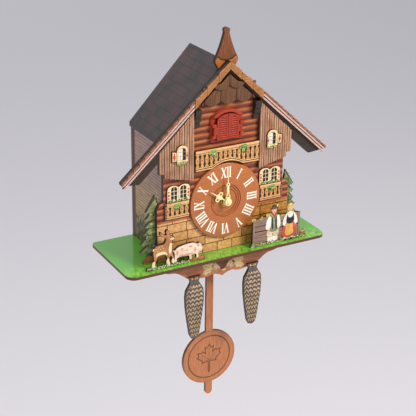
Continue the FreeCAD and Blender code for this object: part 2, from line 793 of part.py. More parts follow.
# ---- cuckoo mechanism ----
shelf_top = door_bottom - 3.0
shelf_thick = 3.0
guide_floor = 1.6
carriage_flange_half = 6.0
carriage_flange_thick = 2.0
carriage_half = 4.0
carriage_front = facade_back_y + 28.2
carriage_rear = carriage_front + bird_travel + 5.8
carriage_bottom = shelf_top + guide_floor + slide_gap
arm_thick = 2.4
carriage_top = doorway_bottom + 0.4 + arm_thick
pinion_y = carriage_front + 2.6
pinion_pitch = rack_module * pinion_teeth / 2
rack_line = carriage_top + 1.1 * rack_module
pinion_z = rack_line + pinion_pitch
rack_width = 5.0
bird_y = facade_back_y + 9.2
arm_half = 1.5
motor_radius = 7.6
motor_length = 19.0
motor_face_x = 9.0
motor_shaft_radius = 1.0


def mechanism_shelf():
    """A shelf between the side walls, behind the facade, that carries the cuckoo."""
    shelf = box(-inner_half, inner_half, facade_back_y, carriage_rear - 3.8, shelf_top - shelf_thick,
                shelf_top)
    room = gable_profile(inner_half, rear_roof_drop())
    return shelf.common(polygon_board(room, 0, facade_depth))


def bird_guide():
    """A moulded slideway with lips over the carriage's flange, and the motor's bracket."""
    rear = carriage_rear + 0.8
    front = facade_back_y + 0.4
    wall_in = carriage_flange_half + slide_gap
    wall_out = wall_in + 1.8
    lip_z = carriage_bottom + carriage_flange_thick + slide_gap
    floor = box(-wall_out, wall_out, front, rear, shelf_top, shelf_top + guide_floor)
    shapes = [floor]
    for side in (-1, 1):
        x0, x1 = sorted((side * wall_in, side * wall_out))
        shapes.append(box(x0, x1, front, rear, shelf_top, lip_z + 1.2))
        x0, x1 = sorted((side * (carriage_half + slide_gap), side * wall_out))
        shapes.append(box(x0, x1, front, rear, lip_z, lip_z + 1.2))
    bracket_plate = box(motor_face_x - 1.6, motor_face_x, pinion_y - 9, pinion_y + 9, shelf_top,
                        pinion_z + 9)
    foot = box(wall_in, motor_face_x + 6, pinion_y - 9, pinion_y + 9, shelf_top, shelf_top + guide_floor)
    solid = joined(shapes + [bracket_plate, foot])
    hole = rod(motor_shaft_radius + 1.2, (0, pinion_y, pinion_z), (motor_face_x + 2, pinion_y, pinion_z))
    return solid.cut(hole)


def bird_carriage():
    """The slide with its rack on top and an arm that reaches forward to the bird."""
    flange = box(-carriage_flange_half, carriage_flange_half, carriage_front, carriage_rear,
                 carriage_bottom, carriage_bottom + carriage_flange_thick)
    body = box(-carriage_half, carriage_half, carriage_front, carriage_rear, carriage_bottom, carriage_top)
    arm = box(-arm_half, arm_half, bird_y - 2, carriage_front + 2, carriage_top - arm_thick, carriage_top)
    post = box(-arm_half, arm_half, bird_y - 2, bird_y + 2, carriage_top, carriage_top + 3.0)
    return joined([flange, body, arm, post] + rack_teeth())


def rack_teeth():
    """Straight-sided teeth. One gap is centred under the pinion at rest."""
    step = math.pi * rack_module
    lean = math.tan(shaft_angle)
    half = step / 4 - backlash / 4
    teeth = []
    count_front = 1
    count_rear = int((carriage_rear - pinion_y) / step)
    for index in range(-count_front, count_rear + 1):
        y = pinion_y + (index + 0.5) * step
        if y - step / 2 < carriage_front or y + step / 2 > carriage_rear:
            continue
        foot = rack_line - carriage_top + 0.05
        tip = 0.85 * rack_module
        points = [(y - half - foot * lean, carriage_top - 0.05),
                  (y + half + foot * lean, carriage_top - 0.05),
                  (y + half - tip * lean, rack_line + tip), (y - half + tip * lean, rack_line + tip)]
        corners = [Vec(-rack_width / 2, py, pz) for py, pz in points]
        face = Part.Face(Part.makePolygon(corners + [corners[0]]))
        teeth.append(face.extrude(Vec(rack_width, 0, 0)))
    return teeth


def bird_pinion():
    """The pinion and the motor's shaft. A tooth points down into the rack at rest."""
    blank = gear(pinion_teeth, rack_module, 0, 0, -rack_width / 2, rack_width, -math.pi / 2)
    blank.rotate(Vec(0, 0, 0), Vec(0, 0, 1), 90)
    blank.translate(Vec(0, pinion_y, pinion_z))
    shaft = rod(motor_shaft_radius, (-rack_width / 2 - 0.8, pinion_y, pinion_z),
                (motor_face_x + 8.0, pinion_y, pinion_z))
    return joined([blank, shaft])


def bird_motor():
    """A small direct-current motor with flattened sides and a bore for its shaft."""
    can = rod(motor_radius, (motor_face_x, pinion_y, pinion_z),
              (motor_face_x + motor_length, pinion_y, pinion_z))
    can = can.common(box(0, 60, pinion_y - 20, pinion_y + 20, pinion_z - 6.0, pinion_z + 6.0))
    nose = rod(2.0, (motor_face_x - 1.2, pinion_y, pinion_z), (motor_face_x, pinion_y, pinion_z))
    bore = rod(motor_shaft_radius + running, (motor_face_x - 2, pinion_y, pinion_z),
               (motor_face_x + 8.3, pinion_y, pinion_z))
    return joined([can, nose]).cut(bore)


def bird():
    """A small cuckoo: body, head, beak and tail."""
    base = carriage_top + 3.0
    body = Part.makeSphere(4.2)
    stretch = FreeCAD.Matrix()
    stretch.scale(0.92, 1.7, 1.0)
    body = body.transformGeometry(stretch)
    body.rotate(Vec(0, 0, 0), Vec(1, 0, 0), -18)
    body.translate(Vec(0, bird_y + 1.0, base + 5.4))
    head = Part.makeSphere(2.9, Vec(0, bird_y - 3.6, base + 10.2))
    beak = Part.makeCone(1.1, 0.25, 3.0, Vec(0, bird_y - 5.6, base + 10.0), Vec(0, -1, -0.1))
    tail = box(-2.0, 2.0, bird_y + 5.0, bird_y + 12.0, base + 1.6, base + 3.0)
    foot = box(-arm_half, arm_half, bird_y - 2, bird_y + 2, base, base + 3.0)
    return joined([body, head, beak, tail, foot])


# ---- clock movement ----
front_wall_y = facade_back_y + movement_wall
split_y = facade_back_y + 9.0
bush_end_y = face_y - dial_thick + dial_recess_depth - 2.4
reverse_x = train_module * (minute_teeth + reverse_teeth) / 2
hour_module = 2 * reverse_x / (reverse_pinion_teeth + hour_teeth)
setting_angle = math.radians(-60)
setting_reach = train_module * (reverse_teeth + setting_teeth) / 2
setting_x = reverse_x + setting_reach * math.cos(setting_angle)
setting_z = dial_height + setting_reach * math.sin(setting_angle)
minute_arbor_radius = 1.6
hour_tube_radius = 2.55
hour_tube_wall = 0.85
reverse_arbor_radius = 0.8
setting_arbor_radius = 1.2
hour_wheel_y = front_wall_y + 0.4
minute_wheel_y = hour_wheel_y + 2.1
gear_width = 1.2
bridge_y = minute_wheel_y + 2.4
bridge_thick = 1.4
post_radius = 2.2
post_reach = 20.0
hour_hand_y = bush_end_y - 1.4
minute_hand_y = hour_hand_y - 1.5
hand_thick = 0.8


def square(half, y0, y1):
    return box(-half, half, y0, y1, dial_height - half, dial_height + half)


def movement_case_front():
    """The front half of the movement's case, with the threaded bush that holds the dial."""
    shell = square(case_half, facade_back_y, split_y)
    shell = shell.cut(square(case_half - movement_wall, front_wall_y, split_y + 1))
    bush = rod_y(bush_radius, 0, dial_height, bush_end_y, facade_back_y + 0.1)
    posts = [rod_y(post_radius, x, dial_height + z, front_wall_y - 0.1, bridge_y) for x, z in post_places()]
    solid = joined([shell, bush] + posts)
    bore = rod_y(hour_tube_radius + running, 0, dial_height, bush_end_y - 1, front_wall_y + 1)
    pivot = rod_y(reverse_arbor_radius + running, reverse_x, dial_height, front_wall_y - 1.0,
                  front_wall_y + 1)
    other = rod_y(setting_arbor_radius + running, setting_x, setting_z, front_wall_y - 1.0,
                  front_wall_y + 1)
    return solid.cut([bore, pivot, other])


def post_places():
    return [(-post_reach, -post_reach), (-post_reach, post_reach), (post_reach, post_reach)]


def movement_case_back():
    shell = square(case_half, split_y, movement_back_y)
    shell = shell.cut(square(case_half - movement_wall, split_y - 1, movement_back_y - movement_wall))
    boss = rod_y(4.0, 0, pivot_height, movement_back_y - 0.1, movement_back_y + 1.2)
    solid = joined([shell, boss])
    hole = rod_y(setting_arbor_radius + running, setting_x, setting_z, split_y, movement_back_y + 1)
    return solid.cut([hole, pendulum_pin()])


def gear_bridge():
    """The plate on three posts that carries the rear ends of the arbors."""
    half = 24.0
    plate = box(-half, half, bridge_y, bridge_y + bridge_thick, dial_height - half, dial_height + half)
    holes = [rod_y(minute_arbor_radius + running, 0, dial_height, bridge_y - 1, bridge_y + 3),
             rod_y(reverse_arbor_radius + running, reverse_x, dial_height, bridge_y - 1, bridge_y + 3),
             rod_y(setting_arbor_radius + running, setting_x, setting_z, bridge_y - 1, bridge_y + 3)]
    return plate.cut(holes)


def dial_nut():
    """A hexagon nut on the bush, in the dial's recess."""
    back = face_y - dial_thick + dial_recess_depth
    corners = [(6.4 * math.cos(math.radians(60 * k)), dial_height + 6.4 * math.sin(math.radians(60 * k)))
               for k in range(6)]
    nut = polygon_board(corners, back, 2.0)
    return nut.cut(rod_y(bush_radius, 0, dial_height, back - 3, back + 1))


def minute_arbor():
    """The minute arbor with its twelve-tooth pinion."""
    arbor = rod_y(minute_arbor_radius, 0, dial_height, minute_hand_y - 2.2, bridge_y + bridge_thick + 1.0)
    pinion = gear(minute_teeth, train_module, 0, dial_height, minute_wheel_y, gear_width + 0.6, 0.0)
    return joined([arbor, pinion])


def reverse_wheel():
    """The wheel and pinion on the side arbor, which bring the speed down to the hour wheel's."""
    arbor = rod_y(reverse_arbor_radius, reverse_x, dial_height, front_wall_y - 0.8,
                  bridge_y + bridge_thick + 0.8)
    wheel = gear(reverse_teeth, train_module, reverse_x, dial_height, minute_wheel_y, gear_width,
                 math.pi + math.pi / reverse_teeth)
    pinion = gear(reverse_pinion_teeth, hour_module, reverse_x, dial_height, hour_wheel_y,
                  minute_wheel_y - hour_wheel_y, math.pi)
    return joined([arbor, wheel, pinion])


def hour_wheel():
    """The forty-tooth hour wheel and the tube that carries the hour hand."""
    wheel = gear(hour_teeth, hour_module, 0, dial_height, hour_wheel_y, gear_width, math.pi / hour_teeth)
    tube = rod_y(hour_tube_radius, 0, dial_height, hour_hand_y - 0.2, hour_wheel_y + gear_width)
    bore = rod_y(hour_tube_radius - hour_tube_wall, 0, dial_height, hour_hand_y - 1,
                 hour_wheel_y + gear_width + 1)
    return joined([wheel, tube]).cut(bore)


def setting_knob():
    """The knob on the back of the movement, with its arbor and gear."""
    arbor = rod_y(setting_arbor_radius, setting_x, setting_z, front_wall_y - 0.8, movement_back_y + 0.6)
    wheel = gear(setting_teeth, train_module, setting_x, setting_z, minute_wheel_y, gear_width,
                 setting_angle + math.pi)
    knob = rod_y(5.0, setting_x, setting_z, movement_back_y + slide_gap, movement_back_y + 3.6)
    grips = []
    for index in range(16):
        angle = index * math.pi / 8
        grips.append(rod_y(0.5, setting_x + 5.1 * math.cos(angle), setting_z + 5.1 * math.sin(angle),
                           movement_back_y, movement_back_y + 5))
    return joined([arbor, wheel, knob.cut(grips)])


hour_spear = [(-0.5, 3.0), (-0.75, 6.5), (-2.3, 12.2), (-0.55, 14.2), (-0.5, 17.0), (0.0, 23.0),
              (0.5, 17.0), (0.55, 14.2), (2.3, 12.2), (0.75, 6.5), (0.5, 3.0)]
hour_rings = [(-3.1, 10.4, 2.3, 1.15), (3.1, 10.4, 2.3, 1.15), (0.0, 8.3, 1.9, 0.85)]
minute_blade = [(-1.0, 2.4), (-2.7, 4.6), (-1.7, 7.0), (-0.7, 10.4), (-1.1, 12.6), (-0.6, 16.0),
                (-0.45, 25.0), (0.0, 29.0), (0.45, 25.0), (0.6, 16.0), (1.1, 12.6), (0.7, 10.4),
                (1.7, 7.0), (2.7, 4.6), (1.0, 2.4)]
minute_rings = [(0.0, 17.4, 2.0, 0.85), (0.0, 6.2, 1.9, 1.0)]
hour_tilt = -55.0          # ten o'clock and a little more
minute_cap_radius = 3.0
minute_cap_tall = 2.8


def hand(blade_corners, rings, back_y, hub, hole, tilt):
    """A pierced hand: a blade, rings given as (x, up, outer, inner), and a hub."""
    z = dial_height
    front_y = back_y - hand_thick
    parts = [polygon_board([(x, z + up) for x, up in blade_corners], back_y, hand_thick)]
    parts += [rod_y(outer, x, z + up, front_y, back_y) for x, up, outer, inner in rings]
    parts.append(rod_y(hub, 0, z, front_y, back_y))
    solid = joined(parts)
    for x, up, outer, inner in rings:
        solid = solid.cut(rod_y(inner, x, z + up, front_y - 1, back_y + 1))
    solid = solid.cut(rod_y(hole, 0, z, front_y - 1, back_y + 1))
    solid.rotate(Vec(0, 0, z), Vec(0, 1, 0), tilt)
    return solid


def hour_hand():
    return hand(hour_spear, hour_rings, hour_hand_y + hand_thick, 4.0, hour_tube_radius, hour_tilt)


def minute_hand():
    """The minute hand and its domed cap, one moulding."""
    blade = hand(minute_blade, minute_rings, minute_hand_y + hand_thick, 3.4, minute_arbor_radius, 0.0)
    front = minute_hand_y
    cap = rod_y(minute_cap_radius, 0, dial_height, front - minute_cap_tall, front)
    rim = [edge for edge in cap.Edges if edge.BoundBox.YMax < front - minute_cap_tall + 0.1]
    cap = cap.makeFillet(1.6, rim)
    cap = cap.cut(rod_y(minute_arbor_radius, 0, dial_height, minute_hand_y - 2.2, front + 1))
    return joined([blade, cap])


# ---- pendulum ----
pin_radius = 1.0
hanger_half = 3.0
board_top = 29.0
hook_z = 25.0
hook_radius = 1.2
hanger_y0 = movement_back_y + 1.8
board_front_y = -pendulum_depth - pendulum_thick / 2


def pendulum_pin():
    """The steel pin in the back of the movement that the pendulum turns on."""
    shaft = rod_y(pin_radius, 0, pivot_height, movement_back_y - 1.4, -pendulum_depth + 0.6)
    head = rod_y(pin_radius + 1.0, 0, pivot_height, -pendulum_depth + 0.6, -pendulum_depth + 1.6)
    return joined([shaft, head])


def pendulum_hanger():
    """A moulded link on the pivot pin. Its peg carries the wooden pendulum."""
    rear = board_front_y - 0.1
    link = box(-hanger_half, hanger_half, hanger_y0, rear, hook_z - 3.4, pivot_height + 3.4)
    peg = rod_y(hook_radius, 0, hook_z, rear - 0.1, -pendulum_depth + 2.6)
    boss = rod_y(2.6, 0, pivot_height, rear - 0.1, -pendulum_depth - 0.2)
    solid = joined([link, peg, boss])
    solid = solid.cut(rod_y(pin_radius + running, 0, pivot_height, hanger_y0 - 1, -pendulum_depth + 1))
    return solid.cut(drive_magnet())


def drive_magnet():
    """A round magnet let into the hanger, swinging past the movement's coil."""
    return rod_y(1.9, 0, (pivot_height + hook_z) / 2, hanger_y0, hanger_y0 + 1.4)


def pendulum_board():
    """One flat piece of wood: strip, bob and the rounded tab under it."""
    back = -pendulum_depth + pendulum_thick / 2
    strip = box(-strip_width / 2, strip_width / 2, back - pendulum_thick, back, bob_height, board_top)
    bob = rod_y(bob_radius, 0, bob_height, back - pendulum_thick, back)
    tab_z = bob_height - bob_radius - 10.4
    tab = box(-strip_width / 2, strip_width / 2, back - pendulum_thick, back, tab_z, bob_height)
    tip = rod_y(strip_width / 2, 0, tab_z, back - pendulum_thick, back)
    solid = joined([strip, bob, tab, tip])
    return solid.cut(rod_y(hook_radius, 0, hook_z, back - 10, back + 1))


# ---- cones ----
def cone(x):
    """A flat fir cone with a flared crown, a neck and a tapering body."""
    top = cone_top
    half = cone_half
    right = [[(6.6, top)], [(5.4, top - 3.4), (4.6, top - 5.6)],
             [(6.4, top - 9.0), (half - 0.9, top - 14.0), (half, top - 21.0), (half - 0.5, top - 32.0),
              (half - 2.6, top - 48.0), (5.6, top - 62.0)], [(3.6, top - 67.0), (0, top - cone_length)]]
    wire = outline((-6.6, top), *right, [(-3.6, top - 67.0), (-5.6, top - 62.0)],
                   [(-half + 2.6, top - 48.0), (-half + 0.5, top - 32.0), (-half, top - 21.0),
                    (-half + 0.9, top - 14.0), (-6.4, top - 9.0), (-4.6, top - 5.6)],
                   [(-5.4, top - 3.4), (-6.6, top)])
    solid = board(wire, cone_back_y, cone_thick)
    solid = solid.cut(rod_y(hook_pin_radius + running, 0, cone_eye_z, cone_back_y - 10, cone_back_y + 1))
    solid.translate(Vec(x, 0, 0))
    return solid


def cone_hooks():
    """Two headed pins driven into the apron. A cone hangs on each."""
    pins = []
    for x in (-cone_x, cone_x):
        shaft = rod_y(hook_pin_radius, x, cone_eye_z, cone_back_y - cone_thick - 0.5, facade_back_y)
        head = rod_y(hook_pin_radius + 0.5, x, cone_eye_z, cone_back_y - cone_thick - 1.1,
                     cone_back_y - cone_thick - 0.5)
        pins.append(joined([shaft, head]))
    return Part.makeCompound(pins)


# ---- power and sound ----
holder_x = -inner_half
cell_y = (-24.0, -41.0)
cell_bottom = 22.0
speaker_x = 36.0
speaker_y = -26.0
speaker_radius = 18.0
board_x = inner_half
pcb_thick = 1.6
switch_travel = 4.0


def battery_holder():
    """An open tray on the left wall for two cells."""
    low = cell_bottom - 3.6
    high = cell_bottom + battery_length + 3.0
    y0 = cell_y[1] - battery_radius - 1.6
    y1 = cell_y[0] + battery_radius + 1.6
    back = box(holder_x, holder_x + 1.6, y0, y1, low, high)
    deep = 2 * battery_radius + 2.4
    bottom = box(holder_x, holder_x + deep, y0, y1, low, low + 1.6)
    top = box(holder_x, holder_x + deep, y0, y1, high - 1.6, high)
    sides = [box(holder_x, holder_x + deep * 0.6, y, y + 1.2, low, high) for y in (y0, y1 - 1.2)]
    return joined([back, bottom, top] + sides)


def batteries():
    cells = []
    for index, y in enumerate(cell_y):
        x = holder_x + 1.8 + battery_radius
        can = rod(battery_radius, (x, y, cell_bottom), (x, y, cell_bottom + battery_length - 1.0))
        cap_low = cell_bottom + battery_length - 1.0
        if index == 0:
            cap = rod(2.6, (x, y, cap_low), (x, y, cap_low + 1.0))
        else:
            cap = rod(2.6, (x, y, cell_bottom - 1.0), (x, y, cell_bottom))
        cells.append(joined([can, cap]))
    return Part.makeCompound(cells)


def battery_contacts():
    """Flat spring contacts at both ends of each cell."""
    plates = []
    for y in cell_y:
        x = holder_x + 1.8 + battery_radius
        plates.append(box(x - 4, x + 4, y - 4, y + 4, cell_bottom - 1.9, cell_bottom - 1.1))
        plates.append(box(x - 4, x + 4, y - 4, y + 4, cell_bottom + battery_length + 0.2,
                          cell_bottom + battery_length + 1.2))
    return Part.makeCompound(plates)


def speaker_holes():
    holes = [rod(1.5, (speaker_x, speaker_y, -plate_thick - 1), (speaker_x, speaker_y, 1))]
    for ring, count in ((5.0, 6), (10.0, 12)):
        for index in range(count):
            angle = 2 * math.pi * index / count
            x = speaker_x + ring * math.cos(angle)
            y = speaker_y + ring * math.sin(angle)
            holes.append(rod(1.5, (x, y, -plate_thick - 1), (x, y, 1)))
    return holes


def speaker():
    """A small loudspeaker that faces down on the plate: basket and magnet."""
    rim = rod(speaker_radius, (speaker_x, speaker_y, 0), (speaker_x, speaker_y, 2.4))
    basket = Part.makeCone(speaker_radius - 2, 9.0, 5.0, Vec(speaker_x, speaker_y, 2.3))
    magnet = rod(8.0, (speaker_x, speaker_y, 7.2), (speaker_x, speaker_y, 11.6))
    return joined([rim, basket, magnet])


pcb_low = 26.0
pcb_high = 72.0
pcb_front = -54.0
pcb_rear = -18.0
switch_z = 60.0


def circuit_board():
    """The sound board on the right wall, with its chip, capacitor and switch body."""
    face = board_x - pcb_thick
    card = box(face, board_x, pcb_front, pcb_rear, pcb_low, pcb_high)
    chip = box(face - 2.0, face, -42.0, -30.0, 42.0, 54.0)
    can = rod(3.2, (face - 7.0, -46.0, 34.0), (face, -46.0, 34.0))
    body = box(face - 5.0, face, -26.0, pcb_rear, switch_z - 6.0, switch_z + 6.0)
    reach = switch_travel / 2 + 1.5 + slide_gap
    track = box(face - 3.6, face - 1.4, pcb_rear - 3.0, pcb_rear + 1, switch_z - reach, switch_z + reach)
    return joined([card, chip, can, body]).cut(track)


def switch_knob():
    """The loudness switch's slider, reached through the hatch."""
    face = board_x - pcb_thick
    stem = box(face - 3.3, face - 1.7, pcb_rear - 2.7, pcb_rear + 3.0, switch_z - 1.5, switch_z + 1.5)
    pad = box(face - 4.2, face - 0.8, pcb_rear + slide_gap, pcb_rear + 3.4, switch_z - 1.5, switch_z + 1.5)
    return joined([stem, pad])


def screws():
    """Four countersunk wood screws that hold the plate up to the side walls."""
    shapes = []
    for x in (-inner_half - wall_thick / 2, inner_half + wall_thick / 2):
        for y in (-14.0, -54.0):
            head = Part.makeCone(2.4, 1.1, 1.8, Vec(x, y, -plate_thick))
            shank = rod(1.1, (x, y, -plate_thick + 1.7), (x, y, 12.0))
            shapes.append(joined([head, shank]))
    return Part.makeCompound(shapes)


# ---- pieces written out ----
fasteners = screws()
export("base_plate", base_plate().cut(fasteners))
export("left_wall", side_wall().cut(fasteners))
export("right_wall", mirrored(side_wall()).cut(fasteners))
export("back_board", back_board())
export("back_hatch", back_hatch().cut(catch_magnet(hatch_half - 5.0)))
export("hinge_pins", Part.makeCompound([hatch_pins(), shutter_pins()]))
export("catch_magnet", catch_magnet(hatch_half + part_gap + 5.0))
export("catch_disc", catch_magnet(hatch_half - 5.0))
export("roof_panel_left", roof_panel())
export("roof_panel_right", mirrored(roof_panel()))
export("facade_board", facade_board())
export("eave_boards", pair(eave_board()))
export("eave_strips", Part.makeCompound(eave_strips() + [mirrored(s) for s in eave_strips()]))
export("verge_shingles", pair(verge_shingles()))
export("gable_shingles", gable_shingles())
export("ridge_finial", ridge_finial())
export("brackets", pair(bracket()))
export("side_boards", pair(side_boards()))
export("windows", Part.makeCompound([pair(attic_window()), pair(lower_window())]))
export("lower_balconies", pair(lower_balcony()))
export("centre_balcony", centre_balcony())
export("balcony_ledge", balcony_ledge())
export("apron_board", apron_board())
export("trees", pair(tree()))
export("animals_cutout", animals_cutout())
export("bench_couple_cutout", bench_couple_cutout())
export("dial", dial())
export("door_frame", door_frame())
export("shutter_left", shutter())
export("shutter_right", mirrored(shutter()))
export("mechanism_shelf", mechanism_shelf())
export("bird_guide", bird_guide())
export("bird_carriage", bird_carriage())
export("bird_pinion", bird_pinion())
export("bird_motor", bird_motor())
export("bird", bird())
export("movement_case_front", movement_case_front())
export("movement_case_back", movement_case_back())
export("gear_bridge", gear_bridge())
export("dial_nut", dial_nut())
export("minute_arbor", minute_arbor())
export("reverse_wheel", reverse_wheel())
export("hour_wheel", hour_wheel())
export("setting_knob", setting_knob())
export("hour_hand", hour_hand())
export("minute_hand", minute_hand())
export("pendulum_pin", pendulum_pin())
export("pendulum_hanger", pendulum_hanger())
export("drive_magnet", drive_magnet())
export("pendulum_board", pendulum_board())
export("cone_left", cone(-cone_x))
export("cone_right", cone(cone_x))
export("cone_hooks", cone_hooks())
export("battery_holder", battery_holder())
export("batteries", batteries())
export("battery_contacts", battery_contacts())
export("speaker", speaker())
export("circuit_board", circuit_board())
export("switch_knob", switch_knob())
export("screws", fasteners)
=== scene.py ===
import math
import random
import bpy
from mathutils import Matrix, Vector


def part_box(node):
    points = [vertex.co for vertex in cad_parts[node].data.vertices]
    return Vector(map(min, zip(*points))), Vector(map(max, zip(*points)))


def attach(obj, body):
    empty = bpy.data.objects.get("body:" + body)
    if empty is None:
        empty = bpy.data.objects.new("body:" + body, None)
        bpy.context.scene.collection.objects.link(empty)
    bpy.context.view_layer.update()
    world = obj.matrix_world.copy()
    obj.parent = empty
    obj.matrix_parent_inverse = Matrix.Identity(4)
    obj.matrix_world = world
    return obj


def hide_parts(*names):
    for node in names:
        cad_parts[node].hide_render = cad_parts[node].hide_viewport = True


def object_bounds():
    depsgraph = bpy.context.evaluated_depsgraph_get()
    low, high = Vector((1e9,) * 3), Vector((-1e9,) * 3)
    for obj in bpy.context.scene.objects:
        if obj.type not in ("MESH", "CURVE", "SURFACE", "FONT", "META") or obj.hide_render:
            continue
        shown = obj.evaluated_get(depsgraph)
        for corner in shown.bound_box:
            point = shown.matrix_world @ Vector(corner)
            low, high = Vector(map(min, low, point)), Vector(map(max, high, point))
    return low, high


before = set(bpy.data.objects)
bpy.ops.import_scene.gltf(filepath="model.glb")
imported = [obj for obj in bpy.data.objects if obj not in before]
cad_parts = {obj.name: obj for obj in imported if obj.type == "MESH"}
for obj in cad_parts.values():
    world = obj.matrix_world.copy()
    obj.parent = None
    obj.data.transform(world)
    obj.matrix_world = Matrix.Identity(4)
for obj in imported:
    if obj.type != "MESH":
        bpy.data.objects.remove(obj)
cadBox = [list(corner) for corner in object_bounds()]
print("frame loaded")

# levels that the pieces share, in metres
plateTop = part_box("base_plate")[1].z
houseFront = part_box("facade_board")[0].y
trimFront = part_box("side_boards")[0].y
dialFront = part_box("dial")[0].y
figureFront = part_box("animals_cutout")[0].y
dialMiddle = (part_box("dial")[0].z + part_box("dial")[1].z) / 2


def hexColour(code):
    # sRGB hex to the linear values of a colour socket
    parts = [int(code[i:i + 2], 16) / 255 for i in (1, 3, 5)]
    return (*[c / 12.92 if c <= 0.04045 else ((c + 0.055) / 1.055) ** 2.4 for c in parts], 1.0)


def addNode(tree, kind, inputs=None, stops=None, **settings):
    # inputs: socket name or number to a value, a hex colour, a socket, or a node for its first output
    node = tree.nodes.new("ShaderNode" + kind)
    for name, value in settings.items():
        setattr(node, name, value)
    for key, value in (inputs or {}).items():
        if isinstance(value, bpy.types.Node):
            value = value.outputs[0]
        if isinstance(value, bpy.types.NodeSocket):
            tree.links.new(value, node.inputs[key])
        else:
            node.inputs[key].default_value = hexColour(value) if isinstance(value, str) else value
    if stops:
        ramp = node.color_ramp
        while len(ramp.elements) < len(stops):
            ramp.elements.new(0.5)
        for element, (place, code) in zip(ramp.elements, stops):
            element.position = place
            element.color = hexColour(code)
    return node


def newLook(name, roughness, metallic=0.0, coat=0.0, coatRough=0.1, ior=1.5):
    look = bpy.data.materials.new(name)
    look.use_nodes = True
    tree = look.node_tree
    shader = tree.nodes["Principled BSDF"]
    shader.inputs["Roughness"].default_value = roughness
    shader.inputs["Metallic"].default_value = metallic
    shader.inputs["Coat Weight"].default_value = coat
    shader.inputs["Coat Roughness"].default_value = coatRough
    shader.inputs["IOR"].default_value = ior
    return look, tree, shader


def objectPlace(tree, scale=(1, 1, 1), move=(0, 0, 0)):
    coords = addNode(tree, "TexCoord")
    inputs = {"Vector": coords.outputs["Object"], "Scale": scale, "Location": move}
    return addNode(tree, "Mapping", inputs)


def endLook(tree, shader, tone, height, depthMm, strength):
    # colour and a fine relief into the shader
    bump = addNode(tree, "Bump", {"Height": height, "Distance": depthMm / 1000, "Strength": strength})
    tree.links.new(tone, shader.inputs["Base Color"])
    tree.links.new(bump.outputs[0], shader.inputs["Normal"])


def faceMask(tree, axis):
    # 1 on the broad faces of a board, 0 on its sawn edges
    coords = addNode(tree, "TexCoord")
    split = addNode(tree, "SeparateXYZ", {0: coords.outputs["Normal"]})
    size = addNode(tree, "Math", {0: split.outputs[axis]}, operation="ABSOLUTE")
    return addNode(tree, "MapRange", {0: size, 1: 0.55, 2: 0.8})


def grain(tree, along, widthMm, detail=4.0, twist=0.3):
    # long streaks that run with the wood, widthMm across
    scale = [1000 / widthMm] * 3
    scale["XYZ".index(along)] = 1000 / widthMm / 14
    inputs = {"Vector": objectPlace(tree, scale), "Scale": 1.0, "Detail": detail, "Roughness": 0.62,
              "Distortion": twist}
    return addNode(tree, "TexNoise", inputs)


def sawnWood(name, light, dark, edge="#3a2418", along="Z", facing="Y", widthMm=0.9, roughness=0.5,
             coat=0.0, blotch=None):
    # printed or stained board: streaks of two tones, and edges browned by the laser that cut it
    look, tree, shader = newLook(name, roughness, coat=coat, coatRough=0.25)
    streak = grain(tree, along, widthMm)
    tone = addNode(tree, "ValToRGB", {0: streak}, stops=[(0.36, dark), (0.66, light)])
    if blotch:
        cloud = addNode(tree, "TexNoise", {"Vector": objectPlace(tree), "Scale": 90.0, "Detail": 3.0})
        amount = addNode(tree, "MapRange", {0: cloud, 1: 0.45, 2: 0.75, 4: 0.7})
        tone = addNode(tree, "Mix", {0: amount, 6: tone, 7: blotch}, data_type="RGBA").outputs[2]
    mixed = addNode(tree, "Mix", {0: faceMask(tree, facing), 6: edge, 7: tone}, data_type="RGBA").outputs[2]
    endLook(tree, shader, mixed, streak, 0.12, 0.5)
    return look


def moulded(name, colour, shade, roughness, metallic=0.0, coat=0.0, specksMm=0.5, depthMm=0.02):
    # moulded, painted or turned surface: a soft change of tone and fine unevenness
    look, tree, shader = newLook(name, roughness, metallic, coat)
    inputs = {"Vector": objectPlace(tree), "Scale": 1000 / specksMm, "Detail": 3.0}
    specks = addNode(tree, "TexNoise", inputs)
    large = addNode(tree, "TexNoise", {"Vector": objectPlace(tree), "Scale": 160.0, "Detail": 2.0})
    both = addNode(tree, "Math", {0: specks, 1: large}, operation="ADD")
    ramp = addNode(tree, "MapRange", {0: both, 1: 0.7, 2: 1.25})
    tone = addNode(tree, "Mix", {0: ramp, 6: shade, 7: colour}, data_type="RGBA").outputs[2]
    endLook(tree, shader, tone, specks, depthMm, 0.4)
    return look


# printed boards of the house
facadePrint = {"logMm": 6.1, "stoneTopMm": 39.0, "stoneMm": (20.0, 9.2), "mortarMm": 0.55}
wallPrint = {"plankMm": 3.1, "darkStripMm": 8.5, "leavesMm": 24.0, "yellowMm": 78.0}
roofPrint = {"rowMm": 6.6, "shingleMm": 5.2}
# plateLook grass is the flat deeper green of the painted shade at the back of the plate
plateLook = {"grass": "#4f9f22", "bright": "#86c63c", "edge": "#5a2c1c", "under": "#7a5a3c"}


